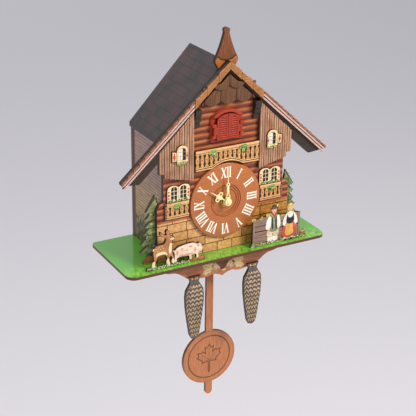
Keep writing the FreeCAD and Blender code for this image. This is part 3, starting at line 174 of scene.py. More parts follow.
def makeFacadeLook():
    # matt print on board: round logs lit from above, courses of yellow stone at the foot
    look, tree, shader = newLook("printedLogBoard", 0.5)
    split = addNode(tree, "SeparateXYZ", {0: objectPlace(tree, move=(0, 0, -plateTop))})
    wobble = addNode(tree, "TexNoise", {"Vector": objectPlace(tree, (25, 25, 90)), "Scale": 1.0})
    shift = addNode(tree, "Math", {0: wobble, 1: 0.0011}, operation="MULTIPLY")
    height = addNode(tree, "Math", {0: split.outputs["Z"], 1: shift}, operation="ADD")
    count = addNode(tree, "Math", {0: height, 1: 1000 / facadePrint["logMm"]}, operation="MULTIPLY")
    part = addNode(tree, "Math", {0: count}, operation="FRACT")
    logs = addNode(tree, "ValToRGB", {0: part}, stops=[
        (0.0, "#42190c"), (0.1, "#743317"), (0.38, "#9a4e28"), (0.62, "#cd8350"), (0.8, "#b4663a"),
        (0.94, "#70331a"), (1.0, "#42190c")])
    streak = grain(tree, "X", 0.8)
    dull = addNode(tree, "ValToRGB", {0: streak}, stops=[(0.35, "#a98a80"), (0.62, "#ffffff")])
    logs = addNode(tree, "Mix", {0: 0.75, 6: logs, 7: dull}, data_type="RGBA",
                   blend_type="MULTIPLY").outputs[2]
    cloud = addNode(tree, "TexNoise", {"Vector": objectPlace(tree, (1, 1, 2)), "Scale": 70.0})
    amount = addNode(tree, "MapRange", {0: cloud, 1: 0.5, 2: 0.75, 4: 0.6})
    logs = addNode(tree, "Mix", {0: amount, 6: logs, 7: "#7c3a20"}, data_type="RGBA").outputs[2]
    flat = addNode(tree, "CombineXYZ", {0: split.outputs["X"], 1: split.outputs["Z"]})
    wide, tall = facadePrint["stoneMm"]
    stones = addNode(tree, "TexBrick", {
        "Vector": flat, "Color1": "#e8c08c", "Color2": "#cf9e64", "Mortar": "#6b4a22", "Scale": 1.0,
        "Mortar Size": facadePrint["mortarMm"] / 1000, "Mortar Smooth": 0.3,
        "Brick Width": wide / 1000, "Row Height": tall / 1000}, squash=0.8, offset=0.42)
    spots = addNode(tree, "TexNoise", {"Vector": objectPlace(tree), "Scale": 420.0, "Detail": 4.0})
    worn = addNode(tree, "ValToRGB", {0: spots}, stops=[(0.3, "#bd9058"), (0.65, "#fff3dc")])
    stoneTone = addNode(tree, "Mix", {0: 0.7, 6: stones, 7: worn}, data_type="RGBA",
                        blend_type="MULTIPLY").outputs[2]
    yellowed = addNode(tree, "Mix", {0: 1.0, 6: stoneTone, 7: "#e2d39a"}, data_type="RGBA",
                       blend_type="MULTIPLY").outputs[2]
    rightward = addNode(tree, "MapRange", {0: split.outputs["X"], 1: -0.012, 2: 0.03})
    stoneTone = addNode(tree, "Mix", {0: rightward, 6: stoneTone, 7: yellowed}, data_type="RGBA").outputs[2]
    top = facadePrint["stoneTopMm"] / 1000
    aboveStone = addNode(tree, "MapRange", {0: split.outputs["Z"], 1: top - 0.0004, 2: top + 0.0004})
    both = addNode(tree, "Mix", {0: aboveStone, 6: stoneTone, 7: logs}, data_type="RGBA").outputs[2]
    both = addNode(tree, "Mix", {0: faceMask(tree, "Y"), 6: "#38211a", 7: both}, data_type="RGBA").outputs[2]
    round = addNode(tree, "Math", {0: part, 1: math.pi}, operation="MULTIPLY")
    round = addNode(tree, "Math", {0: round}, operation="SINE")
    relief = addNode(tree, "Mix", {0: aboveStone, 2: stones.outputs["Fac"], 3: round})
    endLook(tree, shader, both, relief, 0.25, 0.35)
    return look


def makeWallLook():
    # matt print: thin mauve-brown planks, yellowed lower down, leaves at the foot, a dark rear post
    look, tree, shader = newLook("printedPlankBoard", 0.42)
    split = addNode(tree, "SeparateXYZ", {0: objectPlace(tree, move=(0, 0, -plateTop))})
    count = addNode(tree, "Math", {0: split.outputs["Z"], 1: 1000 / wallPrint["plankMm"]},
                    operation="MULTIPLY")
    part = addNode(tree, "Math", {0: count}, operation="FRACT")
    line = addNode(tree, "ValToRGB", {0: part}, stops=[
        (0.0, "#6f6060"), (0.12, "#f0e8e4"), (0.85, "#ffffff"), (0.97, "#6f6060")])
    streak = grain(tree, "Y", 1.1)
    mauve = addNode(tree, "ValToRGB", {0: streak}, stops=[(0.35, "#8a6c62"), (0.65, "#bb9e92")])
    tan = addNode(tree, "ValToRGB", {0: streak}, stops=[(0.35, "#96794c"), (0.65, "#c6ab76")])
    yellow = wallPrint["yellowMm"] / 1000
    higher = addNode(tree, "MapRange", {0: split.outputs["Z"], 1: yellow * 0.55, 2: yellow})
    tone = addNode(tree, "Mix", {0: higher, 6: tan, 7: mauve}, data_type="RGBA").outputs[2]
    tone = addNode(tree, "Mix", {0: 0.85, 6: tone, 7: line}, data_type="RGBA",
                   blend_type="MULTIPLY").outputs[2]
    leafNoise = addNode(tree, "TexNoise", {"Vector": objectPlace(tree), "Scale": 260.0, "Detail": 5.0})
    leaf = addNode(tree, "ValToRGB", {0: leafNoise}, stops=[
        (0.35, "#232a12"), (0.5, "#4c5222"), (0.62, "#7d6a30"), (0.7, "#3a4a1c")])
    ragged = addNode(tree, "Math", {0: leafNoise, 1: 0.05}, operation="MULTIPLY")
    edge = addNode(tree, "Math", {0: split.outputs["Z"], 1: ragged}, operation="ADD")
    low = wallPrint["leavesMm"] / 1000
    clearOfLeaves = addNode(tree, "MapRange", {0: edge, 1: low + 0.022, 2: low + 0.03})
    tone = addNode(tree, "Mix", {0: clearOfLeaves, 6: leaf, 7: tone}, data_type="RGBA").outputs[2]
    strip = -wallPrint["darkStripMm"] / 1000
    acrossPost = addNode(tree, "MapRange", {0: split.outputs["Y"], 1: strip, 2: 0.0})
    post = addNode(tree, "ValToRGB", {0: acrossPost}, stops=[
        (0.0, "#8a3a18"), (0.18, "#5b3a20"), (0.5, "#3b2a1c"), (1.0, "#6a5138")])
    onPost = addNode(tree, "MapRange", {0: split.outputs["Y"], 1: strip - 0.0003, 2: strip + 0.0003})
    tone = addNode(tree, "Mix", {0: onPost, 6: tone, 7: post}, data_type="RGBA").outputs[2]
    tone = addNode(tree, "Mix", {0: faceMask(tree, "X"), 6: "#4a3322", 7: tone}, data_type="RGBA").outputs[2]
    endLook(tree, shader, tone, part, 0.12, 0.4)
    return look


def makeRoofLook():
    # matt dark print of weathered shingles, each with fine splits down the slope
    look, tree, shader = newLook("printedShingleBoard", 0.55)
    split = addNode(tree, "SeparateXYZ", {0: objectPlace(tree)})
    flat = addNode(tree, "CombineXYZ", {0: split.outputs["Y"], 1: split.outputs["Z"]})
    tiles = addNode(tree, "TexBrick", {
        "Vector": flat, "Color1": "#685753", "Color2": "#4c4548", "Mortar": "#1f1b1a", "Scale": 1.0,
        "Mortar Size": 0.00035, "Mortar Smooth": 0.6, "Brick Width": roofPrint["shingleMm"] / 1000,
        "Row Height": roofPrint["rowMm"] / 1000})
    streak = grain(tree, "Z", 0.7)
    dull = addNode(tree, "ValToRGB", {0: streak}, stops=[(0.35, "#8d8686"), (0.65, "#ffffff")])
    tone = addNode(tree, "Mix", {0: 0.8, 6: tiles, 7: dull}, data_type="RGBA",
                   blend_type="MULTIPLY").outputs[2]
    cloud = addNode(tree, "TexNoise", {"Vector": objectPlace(tree), "Scale": 75.0, "Detail": 3.0})
    patch = addNode(tree, "ValToRGB", {0: cloud}, stops=[
        (0.36, "#3a4444"), (0.5, "#56494a"), (0.66, "#664a50")])
    tone = addNode(tree, "Mix", {0: 0.45, 6: tone, 7: patch}, data_type="RGBA").outputs[2]
    tone = addNode(tree, "Mix", {0: faceMask(tree, "X"), 6: "#2b211c", 7: tone}, data_type="RGBA").outputs[2]
    endLook(tree, shader, tone, tiles.outputs["Fac"], -0.2, 0.4)
    return look


def makePlateLook():
    # high gloss lacquer over a grass print, with a dark laser-cut edge, and painted shade: the grass turns a
    # flat deeper green towards the back, where the walls shade it
    look, tree, shader = newLook("glossGrassBoard", 0.3, coatRough=0.05)
    split = addNode(tree, "SeparateXYZ", {0: objectPlace(tree, move=(0, 0, -plateTop))})
    turf = {"Vector": objectPlace(tree, (1, 0.4, 1)), "Scale": 420.0, "Detail": 5.0}
    blades = addNode(tree, "TexNoise", turf)
    grass = addNode(tree, "ValToRGB", {0: blades}, stops=[
        (0.35, "#3b8a18"), (0.65, plateLook["bright"])])
    # painted shade: towards the back the speckled grass gives way to the flat deeper green, standing for the
    # walls' shade; the front stays lighter
    deep = addNode(tree, "MapRange", {0: split.outputs["Y"], 1: -0.078, 2: -0.062})
    grass = addNode(tree, "Mix", {0: deep, 6: grass, 7: plateLook["grass"]}, data_type="RGBA").outputs[2]
    upper = addNode(tree, "MapRange", {0: split.outputs["Z"], 1: -0.0001, 2: -0.00003})
    below = addNode(tree, "MapRange", {0: split.outputs["Z"], 1: -0.00299, 2: -0.00296})
    rim = addNode(tree, "Mix", {0: below, 6: plateLook["under"], 7: plateLook["edge"]},
                  data_type="RGBA").outputs[2]
    tree.links.new(upper.outputs[0], shader.inputs["Coat Weight"])
    tone = addNode(tree, "Mix", {0: upper, 6: rim, 7: grass}, data_type="RGBA").outputs[2]
    endLook(tree, shader, tone, blades, 0.015, 0.3)
    return look


print("making the finishes")
looks = {
    # printed boards: matt print in courses or planks; the plate shines under clear lacquer
    "grassPlate": makePlateLook(),
    "wallPrint": makeWallLook(),
    "roofPrint": makeRoofLook(),
    "logPrint": makeFacadeLook(),
    # sawn boards: satin stain, streaks along the grain, and edges browned by the laser
    "rawBoard": sawnWood("bareFibreBoard", "#a98258", "#8c683f", "#3a2418", widthMm=0.5, roughness=0.75),
    "darkEave": sawnWood("darkStainedBoard", "#38291d", "#251a12", "#241a14", along="X", widthMm=0.8),
    "paleStrip": sawnWood("limedStrip", "#dcbcae", "#b08f84", "#6a4a40", along="X", widthMm=0.6),
    "tanShingle": sawnWood("stainedShingleTan", "#c08a52", "#8c5c34", "#4a3020", along="X", widthMm=0.8),
    "brownShingle": sawnWood("stainedShingleBrown", "#744a2a", "#4f3119", "#3a2416", along="Z", widthMm=0.9),
    "finial": sawnWood("stainedSpireWood", "#844c22", "#603416", "#2e1d14", along="Z", widthMm=0.9),
    "sideBoards": sawnWood("weatheredBoards", "#c89b7c", "#936a4f", "#8a6647", along="Z", widthMm=1.0,
                           blotch="#80583f"),
    "cream": sawnWood("paintedWindowBoard", "#f0dfb8", "#d8bf92", "#5a3a22", widthMm=0.9, roughness=0.45),
    "balcony": sawnWood("paleBalconyWood", "#e3ae70", "#bd8348", "#4a2c18", along="X", widthMm=0.7),
    "apron": sawnWood("reddishStainedBoard", "#c5845c", "#a2633f", "#4a2a1e", along="X", widthMm=1.0,
                      blotch="#9a5a3c"),
    "dial": sawnWood("turnedDialWood", "#bb7038", "#a05a2b", "#8a4826", along="X", widthMm=0.6,
                     roughness=0.42, coat=0.15),
    "pendulum": sawnWood("satinPendulumWood", "#c07c50", "#a0623a", "#5a3322", along="Z", widthMm=0.9,
                         roughness=0.45),
    # mouldings and metal: an even tone with faint unevenness; steel and brass mirror the lamps
    "redPlastic": moulded("redMouldedPlastic", "#a8371e", "#902c16", 0.4),
    "ivoryPlastic": moulded("ivoryMouldedPlastic", "#f2e8b4", "#dfcf90", 0.32),
    "whitePlastic": moulded("whiteAcetal", "#e8e8e2", "#d6d6d0", 0.4),
    "blackPlastic": moulded("blackTexturedPlastic", "#17171a", "#0f0f11", 0.5, specksMm=0.3, depthMm=0.04),
    "greyPlastic": moulded("greyMouldedPlastic", "#7c8086", "#696c72", 0.45),
    "brightSteel": moulded("nickelledSteel", "#c9cacc", "#aeb0b3", 0.28, metallic=1.0),
    "brass": moulded("turnedBrass", "#d8a94c", "#b98a36", 0.3, metallic=1.0),
    "birdPaint": moulded("paintedBird", "#8a6f58", "#5c4736", 0.5, specksMm=1.2),
    "cellSleeve": moulded("printedCellSleeve", "#28476f", "#1c3352", 0.25, coat=0.4),
    "speaker": moulded("speakerBasket", "#1a1a1c", "#101012", 0.6),
    "solderMask": moulded("greenSolderMask", "#1d6b38", "#14512a", 0.3, coat=0.3),
}
nodeLooks = {
    "grassPlate": ["base_plate"], "wallPrint": ["left_wall", "right_wall"],
    "roofPrint": ["roof_panel_left", "roof_panel_right"], "logPrint": ["facade_board"],
    "rawBoard": ["back_board", "back_hatch", "mechanism_shelf"],
    "darkEave": ["eave_boards", "brackets", "balcony_ledge"], "paleStrip": ["eave_strips"],
    "tanShingle": ["verge_shingles"], "brownShingle": ["gable_shingles"], "finial": ["ridge_finial"],
    "sideBoards": ["side_boards"], "cream": ["windows"], "balcony": ["lower_balconies", "centre_balcony"],
    "apron": ["apron_board"], "dial": ["dial"], "pendulum": ["pendulum_board"],
    "redPlastic": ["door_frame", "shutter_left", "shutter_right"],
    "ivoryPlastic": ["hour_hand", "minute_hand"],
    "whitePlastic": ["minute_arbor", "reverse_wheel", "hour_wheel", "bird_pinion"],
    "blackPlastic": ["movement_case_front", "movement_case_back", "gear_bridge", "setting_knob",
                     "battery_holder", "switch_knob", "pendulum_hanger"],
    "greyPlastic": ["bird_guide", "bird_carriage"], "birdPaint": ["bird"],
    "brightSteel": ["hinge_pins", "pendulum_pin", "screws", "bird_motor", "battery_contacts",
                    "catch_magnet", "catch_disc", "drive_magnet"],
    "brass": ["dial_nut", "cone_hooks"], "cellSleeve": ["batteries"], "speaker": ["speaker"],
    "solderMask": ["circuit_board"],
}
for lookName, nodeNames in nodeLooks.items():
    for nodeName in nodeNames:
        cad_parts[nodeName].data.materials.clear()
        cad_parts[nodeName].data.materials.append(looks[lookName])

# ways of making a piece; outlines are in mm, x from the middle, z above the plate
def selectOnly(piece):
    bpy.ops.object.select_all(action="DESELECT")
    piece.select_set(True)
    bpy.context.view_layer.objects.active = piece


def settle(piece, look):
    # place goes into the mesh, doubles are merged, and the piece gets its finish
    selectOnly(piece)
    bpy.ops.object.transform_apply(location=True, rotation=True, scale=True)
    bpy.ops.object.mode_set(mode="EDIT")
    bpy.ops.mesh.select_all(action="SELECT")
    bpy.ops.mesh.remove_doubles(threshold=0.000001)
    bpy.ops.mesh.normals_make_consistent(inside=False)
    bpy.ops.object.mode_set(mode="OBJECT")
    piece.data.materials.clear()
    piece.data.materials.append(looks[look])
    return piece


def cutOut(loops, front, thick, look, curvy=False, bevel=0.12, shrink=0.0):
    # sawn from board: the first loop is the outside and the rest are holes, front is its Y in mm
    flat = bpy.data.curves.new("cutOut", "CURVE")
    flat.dimensions = "2D"
    flat.fill_mode = "BOTH"
    flat.resolution_u = 5
    flat.extrude = (thick / 2 - bevel) / 1000
    flat.bevel_depth = bevel / 1000
    flat.bevel_resolution = 1
    flat.offset = -(bevel + shrink) / 1000
    for loop in loops:
        spline = flat.splines.new("BEZIER" if curvy else "POLY")
        points = spline.bezier_points if curvy else spline.points
        points.add(len(loop) - 1)
        for point, (x, z) in zip(points, loop):
            if curvy:
                point.co = (x / 1000, z / 1000, 0)
                point.handle_left_type = point.handle_right_type = "AUTO"
            else:
                point.co = (x / 1000, z / 1000, 0, 1)
        spline.use_cyclic_u = True
    piece = bpy.data.objects.new("cutOut", flat)
    bpy.context.collection.objects.link(piece)
    selectOnly(piece)
    bpy.ops.object.convert(target="MESH")
    piece.rotation_euler = (math.pi / 2, 0, 0)
    piece.location = (0, (front + thick / 2) / 1000, plateTop)
    return settle(piece, look)


def block(x0, x1, y0, y1, z0, z1, look, bevel=0.2, turn=(0, 0, 0)):
    # a bar or slat with its edges eased
    bpy.ops.object.select_all(action="DESELECT")
    middle = ((x0 + x1) / 2000, (y0 + y1) / 2000, (z0 + z1) / 2000 + plateTop)
    bpy.ops.mesh.primitive_cube_add(size=1, location=middle, rotation=[math.radians(a) for a in turn])
    piece = bpy.context.object
    piece.scale = ((x1 - x0) / 1000, (y1 - y0) / 1000, (z1 - z0) / 1000)
    settle(piece, look)
    ease = piece.modifiers.new("ease", "BEVEL")
    ease.width = bevel / 1000
    ease.segments = 2
    bpy.ops.object.modifier_apply(modifier="ease")
    return piece


beads = {}


def ball(x, y, z, sizes, look, turn=(0, 0, 0), rings=8):
    # a flattened bead: eye, berry, scale or leaf, copied from one sphere of each finish
    if (look, rings) not in beads:
        bpy.ops.object.select_all(action="DESELECT")
        bpy.ops.mesh.primitive_uv_sphere_add(segments=rings * 2, ring_count=rings, radius=0.001)
        first = settle(bpy.context.object, look)
        beads[look, rings] = first.data.copy()
        bpy.data.objects.remove(first)
    piece = bpy.data.objects.new("bead", beads[look, rings].copy())
    bpy.context.collection.objects.link(piece)
    piece.location = (x / 1000, y / 1000, z / 1000 + plateTop)
    piece.rotation_euler = [math.radians(a) for a in turn]
    piece.scale = sizes
    return piece


def gather(name, parts, body="case", nodes=(), sharp=35):
    # joins parts into one piece that rides on a body and stands for CAD nodes
    selectOnly(parts[0])
    for part in parts:
        part.select_set(True)
    bpy.ops.object.join()
    piece = bpy.context.object
    bpy.ops.object.transform_apply(location=True, rotation=True, scale=True)
    bpy.ops.object.shade_smooth_by_angle(angle=math.radians(sharp))
    piece.name = name
    piece.data.name = name
    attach(piece, body)
    if nodes:
        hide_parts(*nodes)
    return piece


def ring(x, z, radius, count=48):
    return [(x + radius * math.cos(k * 2 * math.pi / count), z + radius * math.sin(k * 2 * math.pi / count))
            for k in range(count)]


def archLoop(half, low, spring, rise, x=0.0, count=20):
    # upright sides and an elliptical top
    top = [(x + half * math.cos(k * math.pi / count), spring + rise * math.sin(k * math.pi / count))
           for k in range(count + 1)]
    return [(x - half, low), (x + half, low)] + top


def turned(loop, degrees, x=0.0, z=0.0):
    # clockwise as seen from the front
    c, s = math.cos(math.radians(degrees)), math.sin(math.radians(degrees))
    return [(x + (a - x) * c + (b - z) * s, z - (a - x) * s + (b - z) * c) for a, b in loop]


def shifted(loop, x, z, size=1.0, wide=1.0):
    return [(x + a * size * wide, z + b * size) for a, b in loop]


def sided(loop, side):
    # side is -1 for the left copy and 1 for the right one
    return [(side * x, z) for x, z in loop]


def mirroredLoop(loop):
    return [(-x, z) for x, z in reversed(loop)]


def mm(value):
    return (value - plateTop) * 1000


front = houseFront * 1000
trim = trimFront * 1000
looks.update({
    # screen prints and beads: opaque colour that stands out crisply from the wood; the dark print and the
    # burnt finish also serve as painted shadow in the attic openings and under the verge
    "numeral": moulded("whiteScreenPrint", "#f6f2e6", "#e6e0d0", 0.45),
    "black": moulded("darkPrintAndPaintedShadow", "#1a1512", "#0e0b0a", 0.5),
    "curtain": moulded("whiteCurtainPrint", "#eef2f4", "#cfd6da", 0.5),
    "redPaint": moulded("redPrint", "#c23a22", "#a42c18", 0.45),
    "leafGreen": moulded("leafPrint", "#6fa548", "#47803a", 0.5, specksMm=0.9),
    "mossGreen": moulded("mossPrint", "#a9b04a", "#6f7c2c", 0.5, specksMm=0.9),
    "deepGreen": moulded("shadedLeafPrint", "#2f6b34", "#1f4a26", 0.5, specksMm=0.9),
    "petal": moulded("petalPrint", "#f4efe2", "#d9d0c0", 0.5),
    "pinkPetal": moulded("pinkPetalPrint", "#d98f86", "#b8655c", 0.5),
    "burntEdgeAndShadow": moulded("laserBurntEdgeAndPaintedShadow", "#2c1b12", "#1a100b", 0.6),
    "leafBeige": sawnWood("beigeLeafPrint", "#e8cf98", "#c9a86c", "#a98a58", along="X", widthMm=0.7),
    "grape": moulded("grapePrint", "#85503a", "#5f3526", 0.5, specksMm=0.9),
})

# dial: turned disc with stepped rings round the hands, and printed numerals
dialLook = {"radius": 37.5, "thick": 3.0, "numeralMiddle": 28.4, "numeralTall": 10.6,
            "rim": [(0.35, 0.5), (0.6, 0.3)],
            "rings": [(20.2, 0.0), (0.35, -0.7), (0.5, 0.0), (0.35, 0.6), (0.9, 0.0), (0.3, -0.7),
                      (0.6, 0.0),
                      (0.8, 0.5), (0.4, 0.0), (0.3, -0.8), (1.0, 0.0), (1.6, 0.15), (5.3, 0.0)]}
glyphs = {
    "I": (2.7, [(-1.25, -5.3), (1.25, -5.3), (1.25, -4.8), (0.72, -4.4), (0.72, 4.4), (1.25, 4.8),
                (1.25, 5.3),
                (-1.25, 5.3), (-1.25, 4.8), (-0.72, 4.4), (-0.72, -4.4), (-1.25, -4.8)]),
    "V": (5.6, [(-2.9, 5.3), (-0.6, 5.3), (-0.6, 4.8), (-0.95, 4.5), (0.5, -2.4), (1.65, 4.5), (1.1, 4.8),
                (1.1, 5.3), (2.9, 5.3), (2.9, 4.8), (2.4, 4.5), (0.45, -5.3), (-0.35, -5.3), (-2.45, 4.5),
                (-2.9, 4.8)]),
    "X": (5.6, [(-2.9, 5.3), (-0.6, 5.3), (-0.6, 4.8), (-0.9, 4.5), (0.3, 1.3), (1.45, 4.5), (1.1, 4.8),
                (1.1, 5.3),
                (2.8, 5.3), (2.8, 4.8), (2.25, 4.5), (0.75, 0.2), (2.5, -4.5), (2.9, -4.8), (2.9, -5.3),
                (0.6, -5.3),
                (0.6, -4.8), (0.9, -4.5), (-0.3, -1.3), (-1.45, -4.5), (-1.1, -4.8), (-1.1, -5.3),
                (-2.8, -5.3),
                (-2.8, -4.8), (-2.25, -4.5), (-0.75, -0.2), (-2.5, 4.5), (-2.9, 4.8)]),
}


def makeDial():
    middle = mm(dialMiddle)
    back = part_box("dial")[1].y
    bpy.ops.object.select_all(action="DESELECT")
    bpy.ops.mesh.primitive_circle_add(vertices=144, radius=dialLook["radius"] / 1000, fill_type="NGON",
                                      location=(0, back, dialMiddle), rotation=(math.pi / 2, 0, 0))
    disc = bpy.context.object
    bpy.ops.object.mode_set(mode="EDIT")
    bpy.ops.mesh.select_all(action="SELECT")
    raised = dialLook["thick"] - sum(depth for _, depth in dialLook["rim"])
    bpy.ops.mesh.extrude_region_move(TRANSFORM_OT_translate={"value": (0, -raised / 1000, 0)})
    for thickness, depth in dialLook["rim"] + dialLook["rings"]:
        bpy.ops.mesh.inset(thickness=thickness / 1000, depth=depth / 1000)
    bpy.ops.mesh.extrude_region_move(TRANSFORM_OT_translate={"value": (0, 0.0016, 0)})
    bpy.ops.mesh.delete(type="FACE")
    bpy.ops.mesh.select_all(action="DESELECT")
    bpy.ops.mesh.select_non_manifold()
    bpy.ops.mesh.bridge_edge_loops()
    bpy.ops.object.mode_set(mode="OBJECT")
    settle(disc, "dial")
    parts = [disc]
    face = dialFront * 1000
    for hour, text in enumerate("XII I II III IIII V VI VII VIII IX X XI".split()):
        wide = sum(glyphs[letter][0] for letter in text)
        x = -wide / 2
        loops = []
        for letter in text:
            advance, shape = glyphs[letter]
            loops.append(turned(shifted(shape, x + advance / 2, dialLook["numeralMiddle"]), hour * 30))
            x += advance
        loops = [shifted(loop, 0, middle) for loop in loops]
        parts.append(cutOut(loops, face - 0.1, 0.14, "numeral", bevel=0.02))
    gather("dialWithNumerals", parts, nodes=["dial"])


makeDial()

# hands: pierced ivory mouldings
handLook = {"thick": 0.8, "hourTurn": -55.0}


def makeHands():
    middle = mm(dialMiddle)
    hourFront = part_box("hour_hand")[0].y * 1000
    minuteFront = (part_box("minute_hand")[1].y - 0.0008) * 1000
    spear = [(-0.5, 3.0), (-0.75, 6.5), (-2.3, 12.2), (-0.55, 14.2), (-0.5, 17.0), (0, 23.0), (0.5, 17.0),
             (0.55, 14.2),
             (2.3, 12.2), (0.75, 6.5), (0.5, 3.0)]
    parts = []
    for x, z, outer, inner in ((-3.1, 10.4, 2.3, 1.15), (3.1, 10.4, 2.3, 1.15), (0, 8.3, 1.9, 0.85),
                               (0, 0, 4.1, 2.6)):
        loops = [ring(x, z, outer, 28), ring(x, z, inner, 20)]
        loops = [shifted(turned(loop, handLook["hourTurn"]), 0, middle) for loop in loops]
        parts.append(cutOut(loops, hourFront, handLook["thick"], "ivoryPlastic", bevel=0.25))
    blade = shifted(turned(spear, handLook["hourTurn"]), 0, middle)
    parts.append(cutOut([blade], hourFront + 0.05, 0.7, "ivoryPlastic", bevel=0.15))
    gather("hourHand", parts, "hour_hand", ["hour_hand"])
    tip = [(-0.55, 18.5), (-0.35, 25.0), (0, 29.0), (0.35, 25.0), (0.55, 18.5)]
    stem = [(-0.7, 9.0), (-1.1, 12.5), (-0.6, 16.0), (0.6, 16.0), (1.1, 12.5), (0.7, 9.0)]
    eye = [(-1.0, 2.4), (-2.7, 4.6), (-1.7, 7.0), (-0.7, 10.4), (0.7, 10.4), (1.7, 7.0), (2.7, 4.6),
           (1.0, 2.4)]
    eyeHole = [(-1.35, 4.9), (-0.3, 8.2), (0.3, 8.2), (1.35, 4.9)]
    parts = []
    for loops, curvy, inset in (([tip], False, 0.0), ([stem], True, 0.04), ([eye, eyeHole], False, 0.0),
                                ([ring(0, 17.4, 2.0, 28), ring(0, 17.4, 0.85, 20)], False, 0.03)):
        loops = [shifted(loop, 0, middle) for loop in loops]
        parts.append(cutOut(loops, minuteFront + inset, handLook["thick"] - inset, "ivoryPlastic", curvy,
                            0.2))
    hub = cutOut([ring(0, middle, 3.6, 40)], minuteFront - 1.6, 2.4, "ivoryPlastic", bevel=0.7)
    knob = cutOut([ring(0, middle, 1.5, 28)], minuteFront - 2.7, 1.4, "ivoryPlastic", bevel=0.5)
    gather("minuteHand", parts + [hub, knob], "minute_hand", ["minute_hand"])


makeHands()
print("dial and hands made")

# cuckoo door: moulded frame, hood, lugs and two louvred leaves
doorLook = {"half": 16.7, "rise": 9.0, "openHalf": 11.6, "openRise": 7.0, "slats": 10, "pinX": 13.9}


def makeDoor():
    low, high = [mm(corner.z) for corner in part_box("door_frame")]
    spring = high - doorLook["rise"]
    sill = low + 2.2
    openSpring = spring - 1.0
    outer = archLoop(doorLook["half"], low, spring, doorLook["rise"])
    opening = archLoop(doorLook["openHalf"], sill, openSpring, doorLook["openRise"])
    parts = [cutOut([outer, opening], front - 2.0, 2.0, "redPlastic", bevel=0.35)]
    hoodLow = openSpring + 3.0
    hoodOuter = [p for p in archLoop(doorLook["half"] - 0.2, low, spring,
                                     doorLook["rise"] - 0.2) if p[1] > hoodLow]
    hoodInner = [p for p in archLoop(doorLook["openHalf"] + 0.3, sill, openSpring,
                                     doorLook["openRise"] + 0.3)
                 if p[1] > hoodLow]
    hood = hoodOuter + list(reversed(hoodInner))
    parts.append(cutOut([hood], front - 4.8, 2.9, "redPlastic", bevel=0.7))
    parts.append(block(-doorLook["half"] + 0.6, doorLook["half"] - 0.6, front - 2.6, front - 1.8, low + 0.2,
                       low + 1.6,
                       "redPlastic", 0.3))
    for side, node in ((-1, "shutter_left"), (1, "shutter_right")):
        leafLow = sill + 0.3
        leafHigh = openSpring - 0.4
        for lugLow in (leafLow + 2.0, leafHigh - 4.6):
            x0, x1 = sorted((side * (doorLook["pinX"] - 1.5), side * doorLook["half"]))
            parts.append(block(x0, x1, front - 6.0, front - 1.8, lugLow, lugLow + 2.6, "redPlastic", 0.45))
        leafBack = (houseFront - 0.002 - 0.0025 + 0.0008) * 1000
        edge = doorLook["pinX"] - 2.5
        whole = archLoop(edge, leafLow, openSpring, doorLook["openRise"] - 0.9)
        leaf = [(max(x, 0.15), z) for x, z in whole]
        leaf = [p for k, p in enumerate(leaf) if p != leaf[k - 1]]
        holeRise = doorLook["openRise"] - 2.5
        hole = [(max(x, 1.5), z) for x, z in archLoop(edge - 1.6, leafLow + 1.6, openSpring, holeRise)]
        hole = [p for k, p in enumerate(hole) if p != hole[k - 1]]
        if side < 0:
            leaf, hole = mirroredLoop(leaf), mirroredLoop(hole)
        leafParts = [cutOut([leaf, hole], leafBack - 1.6, 1.6, "redPlastic", bevel=0.25)]
        leafParts.append(cutOut([leaf], leafBack - 0.45, 0.4, "redPlastic", bevel=0.05))
        step = (openSpring + doorLook["openRise"] - 2.6 - leafLow - 1.6) / doorLook["slats"]
        for count in range(doorLook["slats"]):
            z = leafLow + 1.9 + count * step
            over = max(0.0, (z + 1.2 - openSpring) / holeRise)
            reach = (edge - 1.4) * math.sqrt(max(0.05, 1 - over * over))
            x0, x1 = sorted((side * 1.3, side * reach))
            leafParts.append(block(x0, x1, leafBack - 1.45, leafBack - 0.35, z, z + step * 0.62,
                                   "redPlastic",
                                   0.2, (-10, 0, 0)))
        knuckleLow, knuckleHigh = leafLow + 2.0 + 2.9, leafHigh - 4.9
        bpy.ops.object.select_all(action="DESELECT")
        bpy.ops.mesh.primitive_cylinder_add(
            vertices=24, radius=0.00125, depth=(knuckleHigh - knuckleLow) / 1000,
            location=(side * doorLook["pinX"] / 1000, (front - 4.5) / 1000,
                      (knuckleLow + knuckleHigh) / 2000 + plateTop))
        leafParts.append(settle(bpy.context.object, "redPlastic"))
        x0, x1 = sorted((side * (edge - 0.4), side * doorLook["pinX"]))
        leafParts.append(block(x0, x1, leafBack - 1.5, leafBack - 0.1, knuckleLow, knuckleHigh, "redPlastic",
                               0.3))
        gather("leaf" + ("Left" if side < 0 else "Right"), leafParts, node, [node])
    gather("doorFrame", parts, nodes=["door_frame"])


makeDoor()
print("cuckoo door made")

# gable: outlined shingles; verge: separate stepped shingles; upright side boards; spire
roof = {"slope": 0.914, "startX": 35.5, "tipX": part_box("eave_boards")[1].x * 1000, "proud": 1.7,
        "bigCount": 3, "bigDeep": 9.4, "smallCount": 13, "smallDeep": 3.4}
peak = mm(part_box("eave_boards")[1].z)


def roofAt(x, below=0.0):
    return peak - roof["slope"] * abs(x) - below


